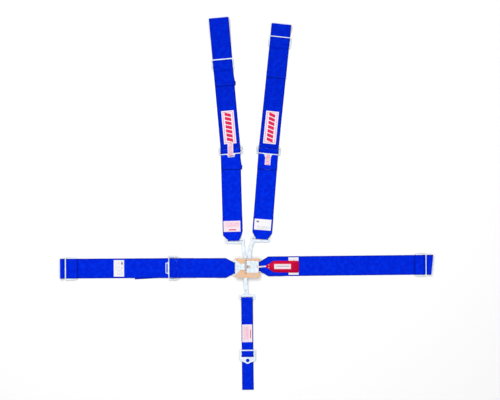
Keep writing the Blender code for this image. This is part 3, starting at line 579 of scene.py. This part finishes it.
SHOULDERS = {
    "left": dict(slide=322 * MM, end=502 * MM, tail=85 * MM, lower_drift=(-6 * MM, 60 * MM),
                 upper_drift=(-5 * MM, 55 * MM),
                 corners=[(0.0, 25.2 * MM, 19.3 * MM), (18 * MM, 34 * MM, BELT / 2),
                          (33 * MM, BELT / 2, BELT / 2)]),
    "right": dict(slide=409 * MM, end=478 * MM, tail=141 * MM, lower_drift=(0.0, 0.0),
                  upper_drift=(0.0, 0.0),
                  corners=[(0.0, 24.8 * MM, 24.3 * MM), (21 * MM, BELT / 2, BELT / 2)]),
}
for side, sizes in SHOULDERS.items():
    lower_course, upper_course, far = shoulder_courses(side)
    sizes["lower"], sizes["upper"], sizes["far"] = lower_course, upper_course, far
    belt(f"{side}_shoulder_lower_webbing", f"{side}_lower", lower_course,
         sewn_wrap(BAR_Z) + hemmed(lock_route(far, -1, 25 * MM, 66 * MM, True, far - 60 * MM)[1:]),
         tapered(sizes["corners"]), sizes["lower_drift"], fold=HEM_FOLD)
    belt(f"{side}_shoulder_upper_webbing", f"{side}_upper", upper_course,
         sewn_wrap(FRAME_Z, 1, 0.0, 60 * MM, 13 * MM)
         + hemmed(slide_route(sizes["slide"], sizes["end"], sizes["tail"])), plain_sides(BELT),
         sizes["upper_drift"], fold=HEM_FOLD, made=shaded_upper_blue)

crotch_course = Course("crotch_fold")
PLATE_S = 214 * MM
crotch_route = sewn_wrap(BAR_Z) + [(PLATE_S - 14 * MM, LOW)]
crotch_route += ramp((PLATE_S - 14 * MM, LOW), (PLATE_S - 5 * MM, OVER), 8) + [(PLATE_S + 5 * MM, OVER)]
crotch_route += ramp((PLATE_S + 5 * MM, OVER), (PLATE_S + 14 * MM, LOW), 8) + [(353 * MM, LOW)]
belt("crotch_webbing", "crotch", crotch_course, crotch_route, plain_sides(CROTCH_BELT))

# Seams ----------------------------------------------------------------------------------------------------
# Bonded polyester thread in the belts' blue. A W-shaped seam inside a box joins each doubled end round its
# bar, and two rows close each hem.


def stitch_tree():
    """Geometry Nodes: one short rounded stitch at every pitch along each line of the seam."""
    tree = bpy.data.node_groups.new("stitch_rows", "GeometryNodeTree")
    sockets = {}
    for label, kind in (("Geometry", "NodeSocketGeometry"), ("Pitch", "NodeSocketFloat"),
                        ("Stitch Length", "NodeSocketFloat"), ("Thread Radius", "NodeSocketFloat"),
                        ("Thread", "NodeSocketMaterial")):
        sockets[label] = tree.interface.new_socket(label, in_out="INPUT", socket_type=kind).identifier
    tree.interface.new_socket("Geometry", in_out="OUTPUT", socket_type="NodeSocketGeometry")
    given = tree.nodes.new("NodeGroupInput").outputs
    out = tree.nodes.new("NodeGroupOutput").inputs
    line = put(tree, "GeometryNodeMeshToCurve")
    points = put(tree, "GeometryNodeResampleCurve", mode="LENGTH")
    ball = put(tree, "GeometryNodeMeshUVSphere")
    ball.inputs["Segments"].default_value = 6
    ball.inputs["Rings"].default_value = 4
    ball.inputs["Radius"].default_value = 1.0
    size = put(tree, "ShaderNodeCombineXYZ")
    half = put(tree, "ShaderNodeMath", operation="MULTIPLY")
    half.inputs[1].default_value = 0.5
    tangent = put(tree, "GeometryNodeInputTangent")
    turn = put(tree, "FunctionNodeAlignRotationToVector", axis="Z")
    place = put(tree, "GeometryNodeInstanceOnPoints")
    real = put(tree, "GeometryNodeRealizeInstances")
    paint = put(tree, "GeometryNodeSetMaterial")
    for source, target in (
            (given["Geometry"], line.inputs["Mesh"]), (line.outputs["Curve"], points.inputs["Curve"]),
            (given["Pitch"], points.inputs["Length"]), (points.outputs["Curve"], place.inputs["Points"]),
            (ball.outputs["Mesh"], place.inputs["Instance"]), (given["Thread Radius"], size.inputs["X"]),
            (given["Thread Radius"], size.inputs["Y"]), (given["Stitch Length"], half.inputs[0]),
            (half.outputs[0], size.inputs["Z"]), (size.outputs[0], place.inputs["Scale"]),
            (tangent.outputs[0], turn.inputs["Vector"]), (turn.outputs[0], place.inputs["Rotation"]),
            (place.outputs["Instances"], real.inputs[0]), (real.outputs[0], paint.inputs["Geometry"]),
            (given["Thread"], paint.inputs["Material"]), (paint.outputs[0], out[0])):
        tree.links.new(source, target)
    return tree, sockets


stitch_rows, stitch_sockets = stitch_tree()


def sew(name, body, lines, made, pitch=3.6 * MM, length=3.0 * MM, radius=0.35 * MM):
    """Stitches along lines of points, as one mesh on one body."""
    mesh = bpy.data.meshes.new(name + "_lines")
    verts, edges = [], []
    for line in lines:
        edges += [(len(verts) + i, len(verts) + i + 1) for i in range(len(line) - 1)]
        verts += line
    mesh.from_pydata(verts, edges, [])
    guide = linked(name + "_lines", mesh)
    rows = guide.modifiers.new("stitches", "NODES")
    rows.node_group = stitch_rows
    values = {"Pitch": pitch, "Stitch Length": length, "Thread Radius": radius, "Thread": made}
    for label, value in values.items():
        rows[stitch_sockets[label]] = value
    depsgraph = bpy.context.evaluated_depsgraph_get()
    sewn = bpy.data.meshes.new_from_object(guide.evaluated_get(depsgraph))
    bpy.data.objects.remove(guide)
    sewn.name = name
    sewn.shade_smooth()
    piece = linked(name, sewn)
    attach(piece, body)
    return piece


def thread_material(name, dark, light):
    made, tree, shader = new_material(name, 0.55, 0.0, 0.2)
    place = put(tree, "ShaderNodeTexCoord").outputs["Object"]
    ply = noise_texture(tree, place, 2500.0, 1.0)
    feed(tree, shader["Base Color"], tint(tree, ply, dark, light))
    feed(tree, shader["Normal"], bump(tree, ply, 0.0001))
    return made


blue_thread = thread_material("blue_thread", (0.0003, 0.012, 0.38, 1), (0.002, 0.05, 0.8, 1))


def w_seam(course, s0, s1, half, z):
    """A zigzag across the belt between two distances, and the box round it."""
    corners = 9
    zigzag = []
    for i in range(corners):
        t = -half + 2 * half * i / (corners - 1)
        zigzag.append(course.place(s0 if i % 2 else s1, t, z))
    box = [course.place(s, t, z) for s, t in ((s0, -half), (s0, half), (s1, half), (s1, -half), (s0, -half))]
    return [zigzag, box]


def hem_rows(course, end, way, half, z):
    """Two rows across a hem, from its free end back along the belt."""
    rows = []
    for inset in (4 * MM, 11 * MM):
        s = end - way * inset
        rows.append([course.place(s, -half, z), course.place(s, half, z)])
    return rows


SEAM_Z = HIGH + WEB / 2 * 0.94
HEM_Z = SEAM_Z + WEB + GAP / 2
wide = BELT / 2 - 6 * MM
sew("right_lap_seam", "right_lap", w_seam(right_course, 34 * MM, 78 * MM, wide, SEAM_Z), blue_thread)
sew("left_lap_inner_seams", "left_lap",
    w_seam(inner_course, 26 * MM, 58 * MM, wide, SEAM_Z)
    + w_seam(inner_course, 159.7 * MM, 191.7 * MM, wide, SEAM_Z), blue_thread)
for side, sizes in SHOULDERS.items():
    end = sizes["far"] - 25 * MM + BAR / 2 + 2.5 * MM - 66 * MM
    lines = w_seam(sizes["lower"], 30 * MM, 78 * MM, wide, SEAM_Z)
    sew(f"{side}_lower_seams", f"{side}_lower", lines + hem_rows(sizes["lower"], end, -1, wide, HEM_Z),
        blue_thread)
    lines = w_seam(sizes["upper"], 16 * MM, 58 * MM, wide, SEAM_Z)
    lines += hem_rows(sizes["upper"], sizes["slide"] - sizes["tail"], -1, wide, HEM_Z)
    sew(f"{side}_upper_seams", f"{side}_upper", lines, blue_thread)
sew("crotch_seam", "crotch", w_seam(crotch_course, 26 * MM, 78 * MM, CROTCH_BELT / 2 - 5 * MM, SEAM_Z),
    blue_thread)

# Sewn labels ----------------------------------------------------------------------------------------------
# Small woven polyester labels, printed with rows of fine marks, and a larger patch on each shoulder belt with
# slanted red bars in a stitched border. They are sewn on round their edges.


def printed_rows_group():
    """Rows of short marks, broken at random, as small print looks."""
    tree, given, out = shader_group(
        "printed_rows", {"Vector": (0.0, 0.0, 0.0), "Row Pitch": 3.0 * MM, "Mark Scale": 900.0, "Fill": 0.5},
        ("Mask",))
    split = put(tree, "ShaderNodeSeparateXYZ")
    feed(tree, split.inputs[0], given["Vector"])
    down = calc(tree, "DIVIDE", split.outputs["Y"], given["Row Pitch"])
    row = calc(tree, "FLOOR", down)
    band = calc(tree, "LESS_THAN", calc(tree, "FRACT", down), 0.5)
    joined = put(tree, "ShaderNodeCombineXYZ")
    feed(tree, joined.inputs["X"], calc(tree, "MULTIPLY", split.outputs["X"], given["Mark Scale"]))
    feed(tree, joined.inputs["Y"], calc(tree, "MULTIPLY", row, 7.3))
    marks = noise_texture(tree, joined.outputs[0], 1.0, 1.0)
    broken = calc(tree, "LESS_THAN", marks, given["Fill"])
    feed(tree, out["Mask"], calc(tree, "MULTIPLY", band, broken))
    return tree


def printed_bar_group():
    """A printed bar round a centre, whose ends slant by a share of its height."""
    tree, given, out = shader_group(
        "printed_bar", {"Vector": (0.0, 0.0, 0.0), "Centre X": 0.0, "Centre Y": 0.0, "Half Width": 5 * MM,
                        "Half Height": 1 * MM, "Slant": 0.0}, ("Mask",))
    split = put(tree, "ShaderNodeSeparateXYZ")
    feed(tree, split.inputs[0], given["Vector"])
    up = calc(tree, "SUBTRACT", split.outputs["Y"], given["Centre Y"])
    over = calc(tree, "SUBTRACT", calc(tree, "SUBTRACT", split.outputs["X"], given["Centre X"]),
                calc(tree, "MULTIPLY", up, given["Slant"]))
    inside = calc(tree, "LESS_THAN", calc(tree, "ABSOLUTE", over), given["Half Width"])
    level = calc(tree, "LESS_THAN", calc(tree, "ABSOLUTE", up), given["Half Height"])
    feed(tree, out["Mask"], calc(tree, "MULTIPLY", inside, level))
    return tree


printed_rows = printed_rows_group()
printed_bar = printed_bar_group()


def printed(name, ground, rows=(), bars=(), pick=0.7 * MM, roughness=0.6):
    """Printed cloth. rows are (row pitch, mark scale, fill, window, colour), bars are (x, y, half width,
    half height, slant, colour), and a window is the same as a bar's first four, from the label's middle."""
    made, tree, shader = new_material(name, roughness, 0.0, 0.25)
    place = put(tree, "ShaderNodeUVMap", uv_map="print").outputs[0]
    cloth = use_group(tree, weave, Vector=place, Rib_Pitch=pick, Pick_Pitch=pick)
    shaded = tuple(0.86 * channel for channel in ground[:3]) + (1,)
    colour = tint(tree, spread(tree, cloth["Depth"], 0.3, 1.0), ground, shaded)
    for pitch, scale, fill, window, ink in rows:
        marks = use_group(tree, printed_rows, Vector=place, Row_Pitch=pitch, Mark_Scale=scale, Fill=fill)
        x, y, half_width, half_height = window
        held_in = use_group(tree, printed_bar, Vector=place, Centre_X=x, Centre_Y=y, Half_Width=half_width,
                            Half_Height=half_height)
        colour = tint(tree, calc(tree, "MULTIPLY", marks["Mask"], held_in["Mask"]), colour, ink)
    for x, y, half_width, half_height, slant, ink in bars:
        mark = use_group(tree, printed_bar, Vector=place, Centre_X=x, Centre_Y=y, Half_Width=half_width,
                         Half_Height=half_height, Slant=slant)
        colour = tint(tree, mark["Mask"], colour, ink)
    feed(tree, shader["Base Color"], colour)
    feed(tree, shader["Normal"], bump(tree, cloth["Height"], 0.00012, 0.6))
    return made


LABEL = 0.5 * MM
ON_LOW = WEB + GAP
ON_HIGH = HIGH + WEB / 2 + GAP


def label(name, body, course, area, z, thickness, made, turned=False, replaced=True):
    """A sewn label over an area (s0, s1, t0, t1), thin at its edges, with its print map.

    The print reads along the belt, or across it where the label is turned.
    """
    s0, s1, t0, t1 = area
    rim = [(0.0, 0.3), (0.5 * MM, 0.85), (1.2 * MM, 1.0)]
    cells = 10

    def stations(low, high):
        inner = [(low + rim[-1][0] + (high - low - 2 * rim[-1][0]) * i / cells, 1.0) for i in range(1, cells)]
        return [(low + d, part) for d, part in rim] + inner + [(high - d, part) for d, part in reversed(rim)]

    along, across = stations(s0, s1), stations(t0, t1)
    middle = ((s0 + s1) / 2, (t0 + t1) / 2)
    verts, maps = [], []
    for level in (1, 0):
        for s, s_part in along:
            for t, t_part in across:
                puff = 0.12 * MM * math.sin(s * 160) * math.sin(t * 130)
                top = z + thickness * min(s_part, t_part) + puff * min(s_part, t_part)
                verts.append(course.place(s, t, top if level else z))
                x, y = s - middle[0], t - middle[1]
                maps.append((-y, x) if turned else (x, y))
    rows, columns = len(along), len(across)
    top = [(i * columns + k, (i + 1) * columns + k, (i + 1) * columns + k + 1, i * columns + k + 1)
           for i in range(rows - 1) for k in range(columns - 1)]
    under = [tuple(index + rows * columns for index in reversed(face)) for face in top]
    loop = [k for k in range(columns)] + [i * columns + columns - 1 for i in range(1, rows)]
    loop += [(rows - 1) * columns + k for k in range(columns - 2, -1, -1)]
    loop += [i * columns for i in range(rows - 2, 0, -1)]
    wall = [(a, b, b + rows * columns, a + rows * columns) for a, b in zip(loop, loop[1:] + loop[:1])]
    mesh = bpy.data.meshes.new(name)
    mesh.from_pydata(verts, [], top + under + wall)
    print_map = mesh.uv_layers.new(name="print")
    for corner in mesh.loops:
        print_map.data[corner.index].uv = maps[corner.vertex_index]
    bm = bmesh.new()
    bm.from_mesh(mesh)
    close_mesh(bm, mesh)
    mesh.shade_smooth()
    mesh.set_sharp_from_angle(angle=math.radians(60))
    mesh.materials.append(made)
    piece = linked(name, mesh)
    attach(piece, body)
    if replaced:
        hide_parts(name)
    return piece


def edge_line(course, area, z, inset):
    s0, s1, t0, t1 = area[0] + inset, area[1] - inset, area[2] + inset, area[3] - inset
    return [course.place(s, t, z) for s, t in ((s0, t0), (s1, t0), (s1, t1), (s0, t1), (s0, t0))]


WHITE = (0.86, 0.85, 0.88, 1)
PINKISH = (0.88, 0.74, 0.82, 1)
INK_RED = (0.66, 0.004, 0.07, 1)
INK_PINK = (0.8, 0.22, 0.36, 1)
INK_GREY = (0.16, 0.16, 0.2, 1)
white_thread = thread_material("white_thread", (0.62, 0.62, 0.66, 1), (0.85, 0.85, 0.88, 1))
red_thread = thread_material("red_thread", (0.3, 0.002, 0.03, 1), (0.62, 0.01, 0.08, 1))

patch_ends = {"left": (-25 * MM, 23 * MM, 142 * MM), "right": (-25 * MM, 24 * MM, 140 * MM)}
PATCH_GROUND = (0.86, 0.76, 0.85, 1)
slanted_bars = [(x * MM, 0.0, 6.2 * MM, 12 * MM, 0.3, INK_RED) for x in range(-48, 49, 16)]
for side, (t0, t1, s1) in patch_ends.items():
    area = (14 * MM, s1, t0, t1)
    course = SHOULDERS[side]["upper"]
    half_s, half_t = (s1 - area[0]) / 2 - 5.5 * MM, (t1 - t0) / 2 - 5.5 * MM
    frame = [(0.0, up * half_t, half_s, 0.7 * MM, 0.0, INK_RED) for up in (1, -1)]
    frame += [(over * half_s, 0.0, 0.7 * MM, half_t, 0.0, INK_RED) for over in (1, -1)]
    made = printed(f"{side}_patch_print", PATCH_GROUND, bars=slanted_bars + frame)
    label(f"{side}_shoulder_patch", f"{side}_upper", course, area, ON_HIGH, 0.6 * MM, made)
    border = edge_line(course, area, ON_HIGH + 0.55 * MM, 5.5 * MM)
    sew(f"{side}_patch_border", f"{side}_upper", [border], red_thread, 2.4 * MM, 2.0 * MM,
        0.4 * MM)

small_labels = (
    ("left_shoulder_label", "left_lower", SHOULDERS["left"]["lower"], (31, 73, -30, 35), ON_HIGH, True,
     printed("left_shoulder_print", PINKISH,
             [(4.6 * MM, 700.0, 0.52, (0.0, 6 * MM, 27 * MM, 9 * MM), INK_PINK)],
             [(2 * MM, -13.5 * MM, 14 * MM, 2.2 * MM, 0.0, INK_RED)])),
    ("right_shoulder_label", "right_lower", SHOULDERS["right"]["lower"], (31, 73, -32, 33), ON_HIGH, True,
     printed("right_shoulder_print", WHITE,
             [(4.2 * MM, 600.0, 0.46, (4 * MM, -11 * MM, 24 * MM, 5 * MM), INK_GREY)],
             [(-20 * MM, 11 * MM, 5 * MM, 3 * MM, 0.0, INK_GREY)])),
    ("left_lap_label", "left_lap_outer", outer_course, (205, 245, -32, 32), ON_LOW, False,
     printed("left_lap_print", WHITE,
             [(4.4 * MM, 500.0, 0.45, (0.0, 0.0, 15 * MM, 26 * MM), (0.45, 0.45, 0.52, 1))],
             [(-12 * MM, -19 * MM, 3 * MM, 4.5 * MM, 0.0, INK_GREY)])),
    ("right_lap_label", "right_lap", right_course, (110, 149, -33.5, 34), ON_LOW, False,
     printed("right_lap_print", WHITE,
             [(4.4 * MM, 500.0, 0.5, (0.0, 0.0, 15 * MM, 28 * MM), (0.5, 0.5, 0.56, 1))])),
    ("crotch_label", "crotch", crotch_course, (101, 169, -20, 19), ON_LOW, False,
     printed("crotch_print", PINKISH,
             [(4.6 * MM, 520.0, 0.52, (0.0, -4 * MM, 26 * MM, 10 * MM), INK_PINK)],
             [(2 * MM, 12.5 * MM, 17 * MM, 1.5 * MM, 0.0, INK_RED)])),
)
for name, body, course, area, z, turned, made in small_labels:
    area = tuple(value * MM for value in area)
    label(name, body, course, area, z, LABEL, made, turned)
    rim_line = edge_line(course, area, z + LABEL * 0.95, 1.8 * MM)
    sew(name + "_stitches", body, [rim_line], white_thread, 2.6 * MM, 2.1 * MM, 0.25 * MM)

# Adjuster ribbons -----------------------------------------------------------------------------------------
# Narrow woven white ribbons, printed in faded red, looped through the adjusters' lugs. The left one is folded
# up over the belt and the right one hangs down.

ribbon_print = printed("ribbon_print", (0.84, 0.7, 0.8, 1),
                       [(5.2 * MM, 300.0, 0.56, (0.0, 0.0, 7.5 * MM, 1.0), (0.72, 0.1, 0.22, 1))])
ribbon_routes = {
    "left": [(33, 6.8), (25, 8), (16, 10.8), (4, 10.6), (-3, 9.9), (-9, 7.2), (-15, 5.4)],
    "right": [(28, 6.8), (39, 6.8), (48, 4.2), (86, 4.2)],
}
RIBBON_EDGE = [(0.0, 0.4), (0.25, 1.0), (1.2, 1.0)]
for side, route in ribbon_routes.items():
    sizes = SHOULDERS[side]
    points = [(sizes["far"] - a * MM, z * MM) for a, z in route]
    piece = strap(f"{side}_shoulder_ribbon", f"{side}_ribbon", sizes["lower"], points,
                  plain_sides(21.6 * MM), 0.8 * MM, ribbon_print, selvedge=RIBBON_EDGE)
    piece.data.uv_layers["weave"].name = "print"
    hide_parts(f"{side}_shoulder_ribbon")

# Pull strip and red tab -----------------------------------------------------------------------------------
# A white ribbon goes through the lever's slot and into a pointed tab of two layers of red vinyl, welded round
# the edge, with two small rivets through the ribbon and a printed label on top.

pull_course = Course("pull_tab_flap")
pull_z = pull_course.start.z
tab_low, tab_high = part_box("pull_tab")
tab_y = 6.5 * MM


STRIP_WHITE = (0.82, 0.82, 0.86, 1)
strip_length = tab_low.x - pull_course.start.x - GAP
strip_route = [(13 * MM, pull_z - 3.4 * MM)] + arc(0.0, pull_z, 2.4 * MM, -100, -270, 12)
strip_route += ramp((0.0, pull_z + 2.4 * MM), (strip_length, ON_HIGH + 1.2 * MM), 16)
strip = strap("pull_strip", "pull_tab", pull_course, strip_route, plain_sides(5.8 * MM), 0.8 * MM,
              printed("pull_strip_weave", STRIP_WHITE), drift=(1.0 * MM, 30 * MM),
              selvedge=[(0.0, 0.4), (0.25, 1.0), (0.8, 1.0)])
strip.data.uv_layers["weave"].name = "print"
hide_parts("pull_strip")


def red_vinyl():
    """Calendered vinyl: a fine pebbled grain with painted shade in its crevices, slightly glossy, a little
    darker where it has been handled.
    """
    made, tree, shader = new_material("red_vinyl", 0.5, 0.0, 0.08)
    place = put(tree, "ShaderNodeTexCoord").outputs["Object"]
    cells = put(tree, "ShaderNodeTexVoronoi", feature="DISTANCE_TO_EDGE")
    feed(tree, cells.inputs["Vector"], place)
    cells.inputs["Scale"].default_value = 900.0
    pebble = spread(tree, cells.outputs["Distance"], 0.0, 0.25, smooth=True)
    cloud = noise_texture(tree, place, 70.0, 3.0)
    colour = tint(tree, spread(tree, cloud, 0.35, 0.75), (0.74, 0.001, 0.05, 1), (0.6, 0.001, 0.06, 1))
    # Painted shade: the grain's crevices between the pebbles are coloured darker.
    colour = tint(tree, spread(tree, pebble, 0.5, 0.0, 0.0, 0.5), colour, (0.4, 0.001, 0.02, 1))
    feed(tree, shader["Base Color"], colour)
    feed(tree, shader["Roughness"], spread(tree, cloud, 0.3, 0.8, 0.36, 0.5))
    feed(tree, shader["Normal"], bump(tree, pebble, 0.00015, 0.7))
    return made


def rounded(corners, radius, count=5):
    """A closed outline with its corners turned to arcs."""
    points = []
    for before, corner, after in zip(corners[-1:] + corners[:-1], corners, corners[1:] + corners[:1]):
        corner = Vector(corner)
        way_in, way_out = (Vector(before) - corner).normalized(), (Vector(after) - corner).normalized()
        reach = min(radius, (Vector(before) - corner).length / 2.2, (Vector(after) - corner).length / 2.2)
        for i in range(count + 1):
            part = i / count
            a, b = corner + way_in * reach * (1 - part), corner + way_out * reach * part
            points.append(a.lerp(b, part))
    return points


def welded_tab():
    """Two layers welded round the rim: each ring goes in from the edge by so much and up to such a height."""
    x0, x1 = tab_low.x, tab_high.x
    corners = [(x0, tab_y - 3 * MM), (x0 + 30 * MM, tab_y - 22.5 * MM), (x1 - 0.6 * MM, tab_y - 24 * MM),
               (x1, tab_y + 21.5 * MM), (x0 + 30 * MM, tab_y + 21.5 * MM), (x0, tab_y + 3 * MM)]
    outline = rounded(corners, 5 * MM)
    rings = [(0.4 * MM, 0.95), (0.8 * MM, 1.0), (1.2 * MM, 0.8), (0.5 * MM, 0.55), (0.6 * MM, 0.55),
             (0.6 * MM, 0.85), (1.4 * MM, 1.0), (3.0 * MM, 1.0), (4.0 * MM, 0.97)]
    half = (tab_high.z - tab_low.z) / 2
    middle = (tab_high.z + tab_low.z) / 2
    bm = bmesh.new()
    for side in (1, -1):
        rim = [bm.verts.new((p.x, p.y, middle + side * half * 0.45)) for p in outline]
        face = bm.faces.new(rim)
        for inset, level in rings:
            before = set(bm.faces)
            bmesh.ops.inset_region(bm, faces=[face], thickness=inset, use_even_offset=True)
            face = [f for f in bm.faces if f in before and len(f.verts) == len(outline)][-1]
            for vert in face.verts:
                vert.co.z = middle + side * half * level
        bmesh.ops.poke(bm, faces=[face])
    bmesh.ops.bridge_loops(bm, edges=[e for e in bm.edges if e.is_boundary])
    mesh = bpy.data.meshes.new("pull_tab")
    close_mesh(bm, mesh)
    mesh.shade_smooth()
    mesh.materials.append(red_vinyl())
    piece = linked("pull_tab", mesh)
    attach(piece, "pull_tab")
    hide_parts("pull_tab")


welded_tab()


def rivets(name, body, places, radius, height, made):
    """Domed rivet heads, turned from one half outline round each place."""
    bm = bmesh.new()
    profile = [(1.0, 0.0), (0.96, 0.4), (0.8, 0.75), (0.5, 0.95), (0.2, 1.0)]
    count = 16
    for place in places:
        rings = []
        for part, level in profile:
            rings.append([bm.verts.new((place[0] + radius * part * math.cos(math.tau * i / count),
                                        place[1] + radius * part * math.sin(math.tau * i / count),
                                        place[2] + height * level)) for i in range(count)])
        for low, high in zip(rings, rings[1:]):
            for i in range(count):
                bm.faces.new((low[i], low[(i + 1) % count], high[(i + 1) % count], high[i]))
        bm.faces.new(rings[-1])
        bm.faces.new(list(reversed(rings[0])))
    mesh = bpy.data.meshes.new(name)
    close_mesh(bm, mesh)
    mesh.shade_smooth()
    mesh.materials.append(made)
    piece = linked(name, mesh)
    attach(piece, body)


rivet_x = tab_low.x + 11 * MM
rivets("tab_rivets", "pull_tab", [(rivet_x, tab_y - 5.2 * MM, tab_high.z - 0.5 * MM),
                                  (rivet_x, tab_y + 5.2 * MM, tab_high.z - 0.5 * MM)],
       1.9 * MM, 1.1 * MM, polished)

# A dab of red paint marks the hinge pin's end, and a spring shows in the lever's window.
PIN_PAINT = (-4 * MM, 31.5 * MM, 20.3 * MM)
rivets("hinge_pin_paint", "latch", [PIN_PAINT], 1.1 * MM, 0.8 * MM, red_vinyl())

SPRING_X, SPRING_Z = 2.4 * MM, 17.6 * MM
SPRING_FROM, SPRING_SPAN = 1.5 * MM, 8 * MM
COIL = 1.5 * MM
COIL_STEPS = 14


def lever_spring():
    """A dark wire spring in the lever's window, wound round the hinge line, with one straight leg."""
    wire, turns, sides = 0.45 * MM, 5, 8
    line, verts, faces = [], [], []
    for i in range(COIL_STEPS * turns + 1):
        angle = math.tau * i / COIL_STEPS
        y = SPRING_FROM + SPRING_SPAN * i / (COIL_STEPS * turns)
        line.append(Vector((SPRING_X + COIL * math.cos(angle), y, SPRING_Z + COIL * math.sin(angle))))
    line.append(Vector((10.5 * MM, 3.5 * MM, SPRING_Z)))
    for i, point in enumerate(line):
        heading = (line[min(i + 1, len(line) - 1)] - line[max(i - 1, 0)]).normalized()
        across = heading.orthogonal().normalized()
        other = heading.cross(across)
        for k in range(sides):
            a = math.tau * k / sides
            verts.append(point + wire * (math.cos(a) * across + math.sin(a) * other))
    for i in range(len(line) - 1):
        for k in range(sides):
            a, b = i * sides + k, i * sides + (k + 1) % sides
            faces.append((a, b, b + sides, a + sides))
    mesh = bpy.data.meshes.new("lever_spring_wire")
    mesh.from_pydata(verts, [], faces)
    mesh.shade_smooth()
    mesh.materials.append(steel)
    piece = linked("lever_spring_wire", mesh)
    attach(piece, "lever")


lever_spring()
tab_print = printed("pull_tab_print", (0.84, 0.74, 0.8, 1),
                    [(5.0 * MM, 420.0, 0.6, (0.0, 0.0, 25 * MM, 2.4 * MM), INK_GREY)],
                    [(0.0, 9.2 * MM, 31 * MM, 0.5 * MM, 0.0, INK_PINK),
                     (0.0, -9.2 * MM, 31 * MM, 0.5 * MM, 0.0, INK_PINK)])
tab_area = tuple(value * MM for value in (62.2, 126.2, -9.5, 10.5))
label("pull_tab_label", "pull_tab", pull_course, tab_area, tab_high.z + GAP, LABEL, tab_print)

# Studio ---------------------------------------------------------------------------------------------------
# A white floor under a large soft light overhead and a smaller one from beyond the shoulder belts, with the
# camera straight above.

floor_mesh = bpy.data.meshes.new("floor")
reach = 20.0
floor_mesh.from_pydata([(-reach, -reach, 0), (reach, -reach, 0), (reach, reach, 0), (-reach, reach, 0)], [],
                       [(0, 1, 2, 3)])
floor = linked("floor", floor_mesh)
white_paper, paper_tree, paper_shader = new_material("white_paper", 0.9, 0.0, 0.1)
grain = noise_texture(paper_tree, put(paper_tree, "ShaderNodeTexCoord").outputs["Object"], 300.0)
feed(paper_tree, paper_shader["Base Color"],
     tint(paper_tree, grain, (0.93, 0.93, 0.93, 1), (0.95, 0.95, 0.95, 1)))
floor_mesh.materials.append(white_paper)
floor.location.z = -0.2 * MM


def soft_box(name, place, width, power):
    lamp = bpy.data.lights.new(name, "AREA")
    lamp.size = width
    lamp.energy = power
    holder = linked(name, lamp)
    holder.location = place
    holder.rotation_euler = (-Vector(place)).to_track_quat("-Z", "Y").to_euler()
    holder.visible_camera = False


soft_box("overhead_soft_box", (0.0, 0.26, 2.6), 5.0, 88)
soft_box("key_soft_box", (-1.2, 2.4, 2.9), 1.4, 40)
world = bpy.data.worlds.new("studio")
bpy.context.scene.world = world
world.use_nodes = True
sky = world.node_tree.nodes["Background"].inputs
sky["Color"].default_value = (1, 1, 1, 1)
sky["Strength"].default_value = 0.35

CAMERA_HEIGHT = 5.0
VIEW_WIDTH = 1.929
camera_data = bpy.data.cameras.new("camera")
camera_data.sensor_width = 36.0
camera_data.lens = camera_data.sensor_width * CAMERA_HEIGHT / VIEW_WIDTH
camera = linked("camera", camera_data)
camera.location = (11.6 * MM, 262.3 * MM, CAMERA_HEIGHT)
bpy.context.scene.camera = camera
bpy.context.scene.view_settings.view_transform = "Standard"
